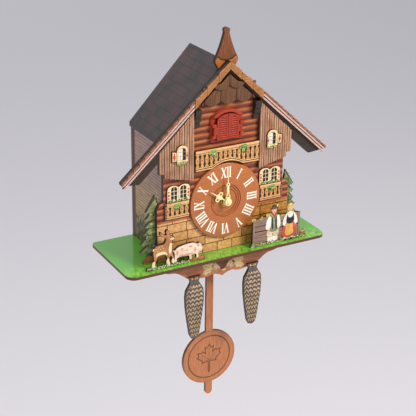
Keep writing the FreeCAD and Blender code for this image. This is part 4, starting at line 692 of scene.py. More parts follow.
def makeVerge():
    # each shingle is its own board, thick end down the slope, with a dark gap under the next that is painted
    # shadow from a dark sheet behind the row
    random.seed(7)
    parts = []
    run = (roof["tipX"] - roof["startX"]) / roof["smallCount"]
    spans = [(k * roof["startX"] / roof["bigCount"], (k + 1) * roof["startX"] / roof["bigCount"], True)
             for k in range(roof["bigCount"])]
    spans += [(roof["startX"] + k * run, roof["startX"] + (k + 1) * run,
               False) for k in range(roof["smallCount"])]
    for side in (-1, 1):
        for start, end, big in spans:
            deep = roof["bigDeep"] if big else roof["smallDeep"]
            proud = roof["proud"] - random.uniform(0.0, 0.35)
            high = 1.7 if big else 1.0
            loop = [(start + 0.1, roofAt(start, -proud + high)), (end - 0.1, roofAt(end, -proud)),
                    (end - 0.1, roofAt(end, deep - proud + random.uniform(-0.4, 0.3))),
                    (start + 0.1, roofAt(start, deep - proud - 0.7 + random.uniform(-0.3, 0.2)))]
            loop = sided(loop, side)
            thick = (3.5 if big else 3.1) - random.uniform(0, 0.3)
            parts.append(cutOut([loop], trim - thick, thick, "tanShingle" if big else "redShingle",
                                bevel=0.35))
            if big:
                inner = [(start + 0.7, roofAt(start, -proud + high + 1.2)),
                         (end - 1.0, roofAt(end, -proud + 1.2)),
                         (end - 1.0, roofAt(end, deep - proud - 1.0)),
                         (start + 0.7, roofAt(start, deep - proud - 1.7))]
                inner = sided(inner, side)
                parts.append(cutOut([inner], trim - thick - 0.12, 0.3, "verge", bevel=0.1))
        # painted shadow: a dark sheet in the burnt finish behind the verge row, showing in the gaps as the
        # shade under the shingles
        shadow = [(0.4, roofAt(0, 0.2)), (roof["tipX"] - 0.8, roofAt(roof["tipX"], 0.6)),
                  (roof["tipX"] - 0.8, roofAt(roof["tipX"], 1.5)),
                  (roof["startX"], roofAt(roof["startX"], 1.3)),
                  (roof["startX"] - 0.2, roofAt(roof["startX"], 7.0)), (0.4, roofAt(0, 7.0))]
        parts.append(cutOut([sided(shadow, side)], trim - 2.6, 2.6, "burntEdgeAndShadow"))
    gather("vergeShingles", parts, nodes=["verge_shingles"])


gableLook = {"reach": 27.5, "below": 11.6, "scallop": 16.5, "rowStep": 14.4, "thick": 1.5}


def makeGable():
    # two overlapping rows of round-ended shingles on a dark backing
    low = mm(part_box("gable_shingles")[0].z)
    reach, below, wide, thick = [gableLook[key] for key in ("reach", "below", "scallop", "thick")]
    triangle = [(-reach, low + 4.4), (reach, low + 4.4), (reach, roofAt(reach, below)),
                (0, roofAt(0, below)),
                (-reach, roofAt(reach, below))]
    parts = [cutOut([triangle], front - 3.4, 3.4, "burntEdgeAndShadow")]
    for row, (shift, out) in enumerate(((0.0, 3.4), (0.5, 4.9))):
        bottom = low + row * gableLook["rowStep"]
        for index in range(-3, 4):
            middle = (index + shift) * wide
            left, right = middle - wide / 2, middle + wide / 2
            low0 = bottom + 4.2
            for grow, look, thin in ((0.0, "burntEdgeAndShadow", thick - 0.5), (-0.32, "brownShingle", thick)):
                x0, x1 = max(left - grow, -reach), min(right + grow, reach)
                if x1 - x0 < 1.5:
                    continue
                under = []
                for step in range(13):
                    x = x0 + (x1 - x0) * step / 12
                    across = (x - middle) / (wide / 2)
                    under.append((x, bottom - grow + 4.2 * abs(across) ** 2.2))
                over = [(x, min(low0 + 15.5, roofAt(x, below + 0.3))) for x in (x1, (x0 + x1) / 2, x0)]
                crossing = any(o[1] < u[1] for o, u in zip(over[::2], under[::-12]))
                if crossing or min(z for x, z in over) < low0 - 2:
                    over = [(x, max(z, low0 + 0.4)) for x, z in over]
                parts.append(cutOut([under + over], front - out - thin, thin, look, bevel=0.12))
    gather("gableShingles", parts, nodes=["gable_shingles"])


boardLook = {"inner": 34.5, "outerTop": 110.5, "count": 7, "stagger": 1.3, "lastStep": 3.4}


def makeSideBoards():
    # upright boards with a rounded batten over each joint, and a ragged foot
    inner, outer = boardLook["inner"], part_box("side_boards")[1].x * 1000
    low = mm(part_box("side_boards")[0].z)
    high = mm(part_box("side_boards")[1].z)
    count = boardLook["count"]
    width = (outer - inner) / count
    slope = (high - boardLook["outerTop"]) / (outer - inner)
    parts = []
    for side in (-1, 1):
        for index in range(count):
            near, far = inner + index * width, inner + (index + 1) * width
            lastStep = boardLook["lastStep"] if index == count - 1 else 0.0
            bottom = low + index * boardLook["stagger"] + lastStep
            tops = [high - slope * (near - inner), high - slope * (far - inner)]
            board = [(near, bottom), (near, tops[0]), (far, tops[1]), (far, bottom)]
            # painted shade: each board behind its battens is a darker copy of the board wood, showing as
            # shade between them
            parts.append(cutOut([sided(board, side)], trim + 1.0, 3.5, "boardShade", bevel=0.1))
            for offset, share in ((0.2, 0.46), (0.52 * width, 0.46)):
                a, b = near + offset + 0.12, near + offset + share * width - 0.05
                ends = [high - slope * (a - inner) - 0.1, high - slope * (b - inner) - 0.1]
                foot = bottom + (0.0 if offset < 1 else 0.5)
                slat = [(a, foot + 0.7), (a + 0.5, foot), (b - 0.5, foot), (b, foot + 0.7), (b, ends[1]),
                        (a, ends[0])]
                parts.append(cutOut([sided(slat, side)], trim, 1.4, "sideBoards", bevel=0.42))
    gather("sideBoards", parts, nodes=["side_boards"])


def makeSpire():
    # a lighter stain on the flared foot, under a dark scorched lip
    low = mm(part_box("ridge_finial")[0].z)
    foot = [(-5.4, low), (5.4, low), (11.0, low + 9.0), (11.5, low + 11.1), (11.1, low + 13.0),
            (9.3, low + 15.8),
            (5.8, low + 12.6), (0, low + 11.4), (-5.8, low + 12.6), (-9.3, low + 15.8), (-11.1, low + 13.0),
            (-11.5, low + 11.1), (-11.0, low + 9.0)]
    lips = [(10.9, low + 13.2), (9.0, low + 16.2), (5.6, low + 13.2), (0, low + 12.0), (-5.6, low + 13.2),
            (-9.0, low + 16.2), (-10.9, low + 13.2), (-9.3, low + 14.8), (-5.8, low + 12.0), (0, low + 10.8),
            (5.8, low + 12.0), (9.3, low + 14.8)]
    parts = [cutOut([foot], front - 0.14, 0.2, "spireFoot", bevel=0.04),
             cutOut([lips], front - 0.3, 0.3, "burntEdgeAndShadow", bevel=0.05)]
    gather("spirePaint", parts)


looks.update({
    # stained shingles: tones that differ, so that each one reads as its own board; boardShade is the
    # side-board wood in painted shade, a darker copy that shows between the battens and on the balcony end
    # posts
    "verge": sawnWood("shingleFaceTan", "#b57a44", "#85532c", "#c08a54", along="X", widthMm=0.9,
                      blotch="#8a4f2a"),
    "redShingle": sawnWood("shingleFaceRedBrown", "#b0714a", "#7d4a32", "#5a3424", along="X", widthMm=0.7),
    "boardShade": sawnWood("boardInShade", "#7d5c46", "#5c4233", "#3e2c20", along="Z", widthMm=0.9),
    "spireFoot": sawnWood("spireFootStain", "#b46a2c", "#96511f", "#3a2418", along="Z", widthMm=0.9),
})
makeVerge()
makeGable()
makeSideBoards()
makeSpire()
print("gable, verge and boards made")

# windows: dark panes, curtains, painted shadow in the attic openings, red marks and flower boxes
windowLook = {"lowerX": 49.0, "lowerLow": 59.0, "atticX": 47.6, "atticLow": 95.4, "atticTall": 19.8}


def flowerCluster(x, y, z, wide, tall, count, seed, bright="leafGreen"):
    # a printed clump: flattened beads of leaf with a few petals on top
    random.seed(seed)
    parts = []
    for index in range(count):
        a = random.uniform(0, 2 * math.pi)
        r = math.sqrt(random.uniform(0, 1))
        look = random.choice([bright, bright, "mossGreen", "deepGreen"])
        size = random.uniform(0.75, 1.35)
        parts.append(ball(x + wide * r * math.cos(a), y, z + tall * r * math.sin(a), (size, 0.3, size * 0.8),
                          look,
                          (0, random.uniform(0, 180), 0), 5))
    for index in range(max(1, count // 5)):
        a = random.uniform(0, 2 * math.pi)
        look = random.choice(["petal", "petal", "pinkPetal"])
        parts.append(ball(x + wide * 0.7 * math.cos(a), y - 0.12, z + tall * 0.6 * math.sin(a),
                          (0.45, 0.3, 0.45), look,
                          rings=5))
    return parts


def makeWindows():
    w = windowLook
    spring = w["atticLow"] + w["atticTall"] - 5.0
    parts = []
    for side in (-1, 1):
        x = side * w["atticX"]
        # attic frame with an arched opening, its sill and the open shutter outside it
        frameLoop = archLoop(5.9, w["atticLow"] + 3.0, spring, 5.0, x)
        openLoop = archLoop(3.4, w["atticLow"] + 5.4, spring - 0.6, 2.9, x)
        parts.append(cutOut([frameLoop], trim - 1.3, 1.3, "burntEdgeAndShadow", bevel=0.1))
        parts.append(cutOut([shifted(shifted(frameLoop, -x, -spring), x, spring, 0.94), openLoop],
                            trim - 1.7, 0.5,
                            "tanFrame", bevel=0.15))
        parts.append(block(x - 3.4, x - 0.1, trim - 1.5, trim - 1.2, w["atticLow"] + 5.4, spring + 1.6,
                           "curtain", 0.05))
        parts.append(block(x - 1.9, x - 1.6, trim - 1.56, trim - 1.2, w["atticLow"] + 5.4, spring + 1.8,
                           "glazingBar",
                           0.04))
        # painted shadow: a dark sheet fills the right half of the attic opening beside the curtain, where
        # the opening lies in shade
        parts.append(block(x - 0.1, x + 3.4, trim - 1.4, trim - 1.2, w["atticLow"] + 5.4, spring + 1.6,
                           "black", 0.05))
        for z in (0.36, 0.7):
            level = w["atticLow"] + 5.4 + z * (spring + 2.0 - w["atticLow"] - 5.4)
            parts.append(block(x - 3.4, x + 3.4, trim - 1.62, trim - 1.3, level - 0.22, level + 0.22,
                               "glazingBar",
                               0.05))
        parts.append(block(x - 0.3, x + 0.3, trim - 1.64, trim - 1.3, w["atticLow"] + 5.2, spring + 2.0,
                           "tanFrame",
                           0.08))
        leaf0, leaf1 = sorted((x + side * 5.4, x + side * 10.6))
        shutterLoop = [(leaf0, w["atticLow"] + 4.6), (leaf1, w["atticLow"] + 4.6), (leaf1, spring - 0.8),
                       (leaf0, spring + 0.6)]
        parts.append(cutOut([shutterLoop], trim - 1.2, 1.2, "burntEdgeAndShadow", bevel=0.1))
        insetLoop = [(leaf0 + 0.5, w["atticLow"] + 5.2), (leaf1 - 0.5, w["atticLow"] + 5.2),
                     (leaf1 - 0.5, spring - 1.4),
                     (leaf0 + 0.5, spring - 0.2)]
        parts.append(cutOut([insetLoop], trim - 1.5, 0.4, "tanFrame", bevel=0.1))
        for z, wide, tall in ((0.12, 0.55, 0.5), (0.3, 0.75, 0.5), (0.5, 1.2, 0.9), (0.72, 0.75, 0.5),
                              (0.9, 0.55, 0.5)):
            level = w["atticLow"] + 6.0 + z * (spring - w["atticLow"] - 7.6)
            for middle in (x + side * 8.0, x - side * 4.65):
                size = wide if middle != x - side * 4.65 else wide * 0.7
                parts.append(block(middle - size, middle + size, trim - 1.75, trim - 1.3, level - tall,
                                   level + tall,
                                   "redPaint", 0.12))
        parts.append(block(x - 5.6, x + 5.6, trim - 1.75, trim, w["atticLow"] + 3.4, w["atticLow"] + 4.8,
                           "tanFrame",
                           0.3))
        parts += flowerCluster(x, trim - 1.5, w["atticLow"] + 3.0, 5.2, 1.5, 26, 11 + side, "mossGreen")
        # lower pair of casements
        x = side * w["lowerX"]
        shoulder = w["lowerLow"] + 12.8
        rim = [(x - 12.1, w["lowerLow"]), (x + 12.1, w["lowerLow"]), (x + 12.1, shoulder)]
        rim += [(x + 6.05 + 6.05 * math.cos(a * math.pi / 10), shoulder + 4.2 * math.sin(a * math.pi / 10))
                for a in range(1, 9)]
        rim += [(x, shoulder + 2.0)]
        rim += [(x - 6.05 + 6.05 * math.cos(a * math.pi / 10), shoulder + 4.2 * math.sin(a * math.pi / 10))
                for a in range(2, 11)]
        parts.append(cutOut([rim], front - 1.1, 1.1, "burntEdgeAndShadow", bevel=0.1))
        lights = []
        for casement in (-1, 1):
            middle = x + casement * 4.75
            for column in (-1, 1):
                for row in range(3):
                    a, b = sorted((middle + column * 0.32, middle + column * 3.1))
                    low = w["lowerLow"] + 3.2 + row * 4.0
                    top = low + 3.45
                    loop = [(a, low), (b, low), (b, top), (a, top)]
                    if row == 2 and column > 0:
                        loop[2:] = [(b, top - 1.5), (b - 1.0, top + 0.1), (a, top + 0.7)]
                    elif row == 2:
                        loop[2:] = [(b, top + 0.7), (a + 1.0, top + 0.1), (a, top - 1.5)]
                    lights.append(loop)
        inner = shifted(shifted(rim, -x, -w["lowerLow"] - 8), x, w["lowerLow"] + 8, 0.955)
        parts.append(cutOut([inner] + lights, front - 1.45, 0.6, "cream", bevel=0.14))
        parts.append(block(x - 0.18, x + 0.18, front - 1.5, front - 1.0, w["lowerLow"] + 2.2, shoulder + 1.2,
                           "burntEdgeAndShadow",
                           0.05))
        for z, tall in ((4.6, 0.7), (7.6, 1.2), (10.8, 0.7)):
            for edge in (-1, 1):
                middle = x + edge * 10.1
                level = w["lowerLow"] + z
                parts.append(block(middle - 0.8, middle + 0.8, front - 1.6, front - 1.2, level - tall,
                                   level + tall,
                                   "redPaint", 0.12))
        for index in range(4):
            parts += flowerCluster(x - 7.8 + index * 5.2, front - 1.45, w["lowerLow"] + 1.5, 2.4, 1.1, 9,
                                   31 + index + side * 5, "deepGreen")
    gather("windows", parts, nodes=["windows"])


looks.update({
    # window and balcony prints: pale frames and rails against dark gaps
    "tanFrame": sawnWood("tanWindowFramePrint", "#ecd9a8", "#cfae7c", "#4a3020", along="Z", widthMm=0.7),
    "glazingBar": moulded("glazingBarPrint", "#8b8f8c", "#6c716f", 0.5),
    "railWood": sawnWood("balconyRailPrint", "#eec48c", "#c68e56", "#57351e", along="X", widthMm=0.6),
    "slatWood": sawnWood("balconySlatPrint", "#dba868", "#ab743e", "#4a2c18", along="Z", widthMm=0.6),
})
makeWindows()
print("windows made")

# balconies: rails over turned slats with dark gaps, and hanging flowers
balconyLook = {"slatStep": 4.9, "lowerX": 50.8, "half": 33.6, "arch": 91.8, "archHalf": 16.5}


def slatLoop(x, low, high, half):
    # a sawn baluster with two waists
    tall = high - low
    right = [(half, 0.0), (half, 0.08), (half * 0.55, 0.2), (half * 0.9, 0.34), (half, 0.5),
             (half * 0.9, 0.66),
             (half * 0.55, 0.8), (half, 0.92), (half, 1.0)]
    loop = [(x + a, low + b * tall) for a, b in right]
    return loop + [(x - a, low + b * tall) for a, b in reversed(right)]


def makeBalconies():
    parts = []
    lower = [mm(corner.z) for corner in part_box("lower_balconies")]
    for side in (-1, 1):
        x = side * balconyLook["lowerX"]
        y = front - 2.0
        parts.append(block(x - 12.6, x + 12.6, y + 1.0, front, lower[0], lower[1], "burntEdgeAndShadow", 0.1))
        for index in range(5):
            at = x - 9.6 + index * balconyLook["slatStep"]
            dot = ring(at, (lower[0] + lower[1]) / 2 + 0.2, 0.55, 12)
            parts.append(cutOut([slatLoop(at, lower[0] + 2.4, lower[1] - 2.4, 1.95), dot], y + 0.35, 0.9,
                                "slatWood"))
        for z0, z1, out in ((lower[1] - 2.9, lower[1], 0.0), (lower[1] - 4.0, lower[1] - 3.2, 0.2),
                            (lower[0] + 1.6, lower[0] + 3.0, 0.1), (lower[0], lower[0] + 1.2, 0.0)):
            parts.append(block(x - 12.6, x + 12.6, y + out, front - 0.6, z0, z1, "railWood", 0.25))
        post0, post1 = sorted((x + side * 12.6, x + side * 10.4))
        # painted shade: the end post takes the darker, shaded copy of the board wood
        parts.append(block(post0, post1, y, front - 0.6, lower[0], lower[1], "boardShade", 0.3))
        for z in (3.4, 6.4, 9.4, 12.2):
            parts.append(ball((post0 + post1) / 2, y, lower[0] + z, (0.55, 0.15, 0.6), "pinkPetal", rings=5))
        parts += flowerCluster(x + 0.6, y - 0.05, lower[1] - 3.6, 4.2, 1.8, 30, 51 + side)
        parts += flowerCluster(x + 0.9, y - 0.05, lower[1] - 6.6, 1.2, 1.6, 8, 53 + side)
    gather("lowerBalconies", parts, nodes=["lower_balconies"])
    parts = []
    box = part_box("centre_balcony")
    y = box[0].y * 1000
    low, high = mm(box[0].z), mm(box[1].z)
    arch, archHalf, half = [balconyLook[key] for key in ("arch", "archHalf", "half")]
    under = [(x, arch + 0.2 - (arch - low) * (abs(x) / archHalf) ** 2.0)
             for x in [archHalf * (k / 10 - 1) for k in range(21)]]
    whole = [(-half, low)] + under + [(half, low), (half, high), (-half, high)]
    parts.append(cutOut([whole], y + 1.2, 1.0, "burntEdgeAndShadow", bevel=0.08))
    for index in range(14):
        x = (index - 6.5) * balconyLook["slatStep"] * 0.99
        foot = low if abs(x) > archHalf else arch - (arch - low) * (x / archHalf) ** 2
        foot += 3.0
        loops = [slatLoop(x, foot, high - 2.6, 1.95), ring(x, (foot + high - 2.6) / 2, 0.5, 12)]
        parts.append(cutOut(loops, y + 0.5, 0.9, "slatWood"))
    parts.append(block(-half, half, y, y + 2.0, high - 2.6, high, "railWood", 0.3))
    parts.append(block(-half, half, y + 0.25, y + 1.6, high - 4.2, high - 3.2, "railWood", 0.2))
    for rise, tall, out in ((0.0, 1.3, 0.0), (1.9, 1.1, 0.2)):
        belt = [(x, z + rise) for x, z in [(-half, low)] + under + [(half, low)]]
        belt += [(x, z + tall) for x, z in reversed(belt)]
        parts.append(cutOut([belt], y + out, 1.6 - out, "railWood", bevel=0.2))
    for x, seed in ((-15.5, 71), (16.0, 73)):
        parts += flowerCluster(x, y - 0.05, high - 3.4, 4.2, 2.2, 30, seed)
        parts += flowerCluster(x + 0.5, y - 0.05, high - 6.6, 1.6, 1.8, 10, seed + 1)
    gather("centreBalcony", parts, nodes=["centre_balcony"])


makeBalconies()
print("balconies made")

# fir trees: ragged tiers of boughs glued on a sawn silhouette
treeLook = {"trunk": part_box("left_wall")[0].x * -1000 + 0.5, "tiers": [
    (7.1, 67.6, 7.1), (17.2, 52.0, 12.6), (17.6, 44.3, 13.0), (18.0, 36.9, 14.4), (20.0, 29.8, 15.8),
    (22.6, 19.9, 16.6), (23.8, 12.0, 13.6)]}


def makeTrees():
    random.seed(21)
    trunk, tiers = treeLook["trunk"], treeLook["tiers"]
    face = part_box("trees")[0].y * 1000
    parts = []
    for side in (-1, 1):
        shape = [(trunk + 7.1, 67.6)]
        for reach, z, notch in tiers[1:]:
            shape += [(trunk + reach - 0.5, z), (trunk + notch - 0.5, z - 1.6)]
        shape += [(trunk + 20.1, 0.1), (trunk, 0.1), (trunk, 30.0), (trunk + 3.1, 46.0)]
        parts.append(cutOut([sided(shape, side)], face + 0.3, 2.6, "treeShade", bevel=0.1))
        for index in range(len(tiers) - 1, 0, -1):
            reach, z, notch = tiers[index]
            above = tiers[index - 1][1]
            inner = trunk + max(0.3, 3.1 * min(1.0, (z - 30.0) / 16.0))
            innerTop = trunk + max(0.3, 3.1 * min(1.0, (above - 30.0) / 16.0) + (4.0 if index == 1 else 0.0))
            teeth = 7
            edge = []
            for step in range(teeth * 2 + 1):
                x = trunk + reach - 0.8 - (trunk + reach - 0.8 - inner) * step / (teeth * 2)
                drop = random.uniform(0.2, 0.9) if step % 2 else random.uniform(1.6, 2.9)
                edge.append((x, z - (drop if step else 0.2)))
            tier = edge + [(innerTop, above - 2.0), (trunk + tiers[index - 1][2] - 1.2, above - 2.2)]
            parts.append(cutOut([sided(tier, side)], face, 0.5, "treePrint", bevel=0.14))
            for step in range(9):
                share = random.random()
                x = inner + 0.8 + share * (trunk + notch - inner - 1.6)
                h = z + random.uniform(0.4, max(1.0, above - z - 2.5))
                look = random.choice(["treeMint", "treePrint", "treeShade", "barkFoot"])
                parts.append(ball(side * x, face, h, (1.5, 0.22, 0.55), look,
                                  (0, side * random.uniform(20, 60), 0), 5))
        foot = [(trunk, 0.1), (trunk + 19.8, 0.1), (trunk + 18.6, 5.6), (trunk + 14.0, 8.4),
                (trunk + 9.6, 6.0),
                (trunk + 6.0, 9.2), (trunk + 3.0, 7.0), (trunk, 9.6)]
        parts.append(cutOut([sided(foot, side)], face - 0.1, 0.5, "barkFoot", bevel=0.1))
    gather("trees", parts, nodes=["trees"])


looks.update({
    # figure prints: soft mottled bark, fur, skin and cloth, matt like their board
    "treeShade": sawnWood("firPrintShade", "#48512e", "#2c331c", "#3a2418", along="Z", widthMm=0.8),
    "treePrint": moulded("firPrint", "#8b9a66", "#45502c", 0.5, specksMm=1.4),
    "treeMint": moulded("firHighlightPrint", "#bcc8a2", "#8a9a6c", 0.5, specksMm=0.9),
    "barkFoot": moulded("earthPrint", "#b5713a", "#6e4a26", 0.5, specksMm=1.2),
    "deerCoat": sawnWood("deerCoatPrint", "#c9925e", "#9c6438", "#3a2418", along="Z", widthMm=1.0,
                         blotch="#8a5228"),
    "creamFur": moulded("creamFurPrint", "#efdcb8", "#d3b68a", 0.5, specksMm=0.8),
    "pigSkin": moulded("pigSkinPrint", "#eddac8", "#d6b39c", 0.5, specksMm=1.6),
    "pigShade": moulded("pigShadePrint", "#cda08a", "#b08470", 0.5),
    "benchPlank": sawnWood("benchPlankPrint", "#9f7f6f", "#785e52", "#4a342a", along="X", widthMm=0.9),
    "skin": moulded("skinPrint", "#eec3a2", "#dba583", 0.5, specksMm=0.7),
    "shirt": moulded("greenWaistcoatPrint", "#8fa07c", "#5f7050", 0.55, specksMm=0.8),
    "lederhosen": moulded("paleBreechesPrint", "#e3cfae", "#bfa47e", 0.55, specksMm=0.8),
    "bodice": moulded("blackBodicePrint", "#2a2428", "#191518", 0.5),
    "blouse": moulded("whiteBlousePrint", "#f2eee6", "#d4cdc2", 0.5, specksMm=0.8),
    "skirt": moulded("redSkirtPrint", "#c9543c", "#9c3626", 0.5, specksMm=0.8),
    "apronCloth": moulded("ochreApronPrint", "#dfae5c", "#c08a3e", 0.5, specksMm=0.8),
    "hair": moulded("blondeHairPrint", "#e0bd72", "#b98f48", 0.5, specksMm=0.6),
    "felt": moulded("darkFeltPrint", "#3a3230", "#241f1e", 0.6, specksMm=0.5),
    "leafYellow": moulded("autumnLeafPrint", "#d9b24a", "#a8843a", 0.5, specksMm=0.7),
    "coneDark": sawnWood("coneGreyBrown", "#6a625a", "#45403c", "#1e1916", along="Z", widthMm=0.9),
    "coneGold": moulded("coneGoldPrint", "#edcb98", "#c0935c", 0.45, specksMm=0.6),
    "coneScale": moulded("coneScalePrint", "#57504a", "#3a3633", 0.5, specksMm=0.6),
})
makeTrees()
print("trees made")

# deer, pig and couple: figures printed on board, with each part of the print a thin raised layer
deerOutline = [(-81.2, 0.6), (-78.4, 0.6), (-78.2, 5.5), (-77.0, 9.5), (-75.6, 12.4), (-71.5, 13.4),
               (-67.6, 12.6),
               (-66.4, 7.5), (-65.9, 0.6), (-63.3, 0.6), (-63.6, 6.5), (-63.0, 10.8), (-61.2, 8.6),
               (-60.2, 0.6),
               (-57.4, 0.6), (-58.4, 6.0), (-59.6, 11.5), (-60.9, 16.5), (-60.7, 21.0), (-61.9, 25.4),
               (-60.6, 26.6),
               (-58.2, 28.0), (-58.6, 29.4), (-61.2, 31.0), (-63.4, 33.2), (-64.2, 36.4), (-66.4, 38.0),
               (-67.6, 35.6), (-67.2, 33.4), (-70.0, 34.8), (-73.2, 36.4), (-73.0, 33.6), (-70.4, 31.4),
               (-67.9, 30.0), (-67.9, 27.0), (-69.6, 24.9), (-74.0, 24.5), (-78.4, 23.4), (-80.2, 20.0),
               (-80.6, 15.0), (-79.6, 9.5), (-80.6, 4.5)]
pigOutline = [(-58.2, 3.4), (-56.5, 3.4), (-55.6, 6.8), (-52.0, 7.6), (-47.0, 7.4), (-43.5, 6.8),
              (-42.8, 3.4),
              (-40.6, 3.4), (-40.2, 7.2), (-36.2, 7.0), (-35.6, 3.4), (-33.4, 3.4), (-33.2, 8.4),
              (-30.6, 9.4),
              (-28.4, 10.6), (-27.9, 12.8), (-29.6, 14.4), (-30.4, 16.4), (-32.2, 18.4), (-34.4, 17.8),
              (-37.6, 19.4), (-43.0, 20.0), (-50.0, 19.3), (-56.0, 17.7), (-58.6, 15.8), (-60.0, 16.6),
              (-60.4, 15.4), (-59.0, 13.0), (-58.6, 9.0)]


def grassStrip(left, right, tall, seed):
    # bumpy strip of leaves and small flowers in front of a figure's feet
    random.seed(seed)
    y = figureFront * 1000
    count = int((right - left) / 2.4)
    top = [(right - (right - left) * k / (count * 2), tall * (0.55 if k % 2 else random.uniform(0.85, 1.1)))
           for k in range(count * 2 + 1)]
    parts = [cutOut([[(left, 0.1), (right, 0.1)] + top], y + 0.1, 2.8, "burntEdgeAndShadow", bevel=0.1)]
    for k in range(count):
        x = left + (k + 0.5) * (right - left) / count
        parts += flowerCluster(x, y + 0.02, tall * 0.5, 1.4, tall * 0.42, 5, seed + k, "treePrint")
        parts.append(ball(x + random.uniform(-0.8, 0.8), y - 0.1, tall * random.uniform(0.2, 0.8),
                          (0.6, 0.3, 0.5),
                          random.choice(["petal", "creamFur", "pinkPetal"]), rings=5))
    return parts


def makeAnimals():
    y = figureFront * 1000
    parts = [cutOut([deerOutline], y + 0.3, 2.7, "burntEdgeAndShadow", True),
             cutOut([pigOutline], y + 0.3, 2.7, "burntEdgeAndShadow", True),
             cutOut([deerOutline], y, 0.4, "deerCoat", True, shrink=0.3),
             cutOut([pigOutline], y, 0.4, "pigSkin", True, shrink=0.3)]
    belly = [(-77.4, 13.6), (-74.0, 14.4), (-68.0, 14.0), (-66.4, 12.8), (-68.4, 16.4), (-73.0, 17.2),
             (-76.6, 16.2)]
    chest = [(-62.4, 24.6), (-61.5, 20.0), (-61.9, 15.5), (-63.4, 13.6), (-64.6, 17.0), (-64.0, 22.0)]
    shins = [[(-80.4, 1.2), (-79.0, 1.2), (-78.8, 6.0), (-79.6, 9.0)],
             [(-65.3, 1.2), (-63.9, 1.2), (-64.2, 7.0), (-65.2, 9.0)],
             [(-59.8, 1.2), (-58.1, 1.2), (-59.0, 6.4), (-60.1, 8.4)]]
    for loop in [belly, chest] + shins:
        parts.append(cutOut([loop], y - 0.1, 0.2, "creamFur", True, bevel=0.05))
    cheek = [(-62.6, 27.2), (-60.2, 27.4), (-58.8, 28.4), (-60.4, 29.2), (-63.0, 28.8)]
    parts.append(cutOut([cheek], y - 0.1, 0.2, "creamFur", True, bevel=0.05))
    for x, z, sizes, look, turn in (
            (-62.9, 30.3, (0.5, 0.3, 0.45), "black", 0), (-58.6, 28.8, (0.5, 0.3, 0.4), "black", 0),
            (-65.6, 35.4, (0.7, 0.2, 1.6), "pinkPetal", 10), (-70.6, 33.9, (1.7, 0.2, 0.7), "pinkPetal", 25),
            (-74.6, 22.2, (0.5, 0.2, 0.4), "creamFur", 0), (-71.6, 22.8, (0.5, 0.2, 0.4), "creamFur", 0),
            (-77.4, 20.8, (0.5, 0.2, 0.4), "creamFur", 0), (-73.2, 20.0, (0.45, 0.2, 0.4), "creamFur", 0),
            (-76.0, 18.6, (0.45, 0.2, 0.4), "creamFur", 0), (-69.8, 20.4, (0.45, 0.2, 0.4), "creamFur", 0),
            (-80.2, 20.6, (0.7, 0.3, 1.3), "creamFur", 15),
            (-31.9, 14.5, (0.42, 0.3, 0.42), "black", 0), (-29.0, 12.0, (1.0, 0.35, 1.3), "pigShade", 12),
            (-28.8, 12.3, (0.25, 0.45, 0.3), "black", 0), (-33.8, 16.2, (1.5, 0.3, 1.1), "pigShade", -35),
            (-47.0, 9.0, (7.5, 0.2, 0.9), "pigShade", 0), (-55.6, 12.6, (1.2, 0.2, 2.6), "pigShade", 0),
            (-42.0, 16.4, (1.7, 0.15, 0.9), "pigShade", 12), (-50.6, 15.6, (1.3, 0.15, 1.0), "pigShade", 0),
            (-37.0, 12.8, (0.9, 0.15, 2.2), "pigShade", 0), (-46.0, 13.4, (1.0, 0.15, 0.8), "pigShade", 0)):
        parts.append(ball(x, y, z, sizes, look, (0, turn, 0), 7))
    parts.append(block(-42.0, -26.2, y - 0.1, y + 2.9, 0.1, 3.6, "barkFoot", 0.6))
    for x in (-27.6, -34.0, -39.6):
        parts.append(block(x - 0.25, x + 0.25, y - 0.2, y, 0.5, 3.2, "burntEdgeAndShadow", 0.08))
    parts += grassStrip(-87.0, -43.0, 3.8, 101)
    gather("animals", parts, nodes=["animals_cutout"])


def person(x, chin, hat, parts):
    # plain doll's head: an oval, eyes halfway up, short nose and a small calm mouth
    y = figureFront * 1000
    hair = "felt" if hat else "hair"
    features = [(0.0, 0.1, 3.5, (2.8, 0.85, 3.5), "skin", 0),
                (0.0, -0.85, 2.6, (0.32, 0.22, 0.55), "skin", 0),
                (0.0, -0.74, 1.45, (0.7, 0.16, 0.18), "redPaint", 0)]
    for side in (-1, 1):
        features += [(side * 1.1, -0.74, 3.6, (0.36, 0.18, 0.28), "black", 0),
                     (side * 1.1, -0.74, 4.4, (0.58, 0.1, 0.12), hair, 0)]
    if hat:
        features += [(0, -0.25, 5.6, (4.5, 0.95, 0.8), "felt", 0),
                     (0, -0.1, 7.1, (2.9, 0.95, 2.2), "felt", 0),
                     (0, -0.4, 6.4, (2.9, 0.75, 0.4), "redPaint", 0),
                     (2.9, -0.3, 7.6, (0.6, 0.3, 2.0), "petal", 25)]
    else:
        features += [(0, 0.3, 4.3, (3.7, 0.75, 4.3), "hair", 0), (0, -0.3, 6.5, (2.8, 0.8, 1.15), "hair", 0)]
    for across, out, up, sizes, look, turn in features:
        parts.append(ball(x + across, y + out, chin + up, sizes, look, (0, turn, 0), 10))


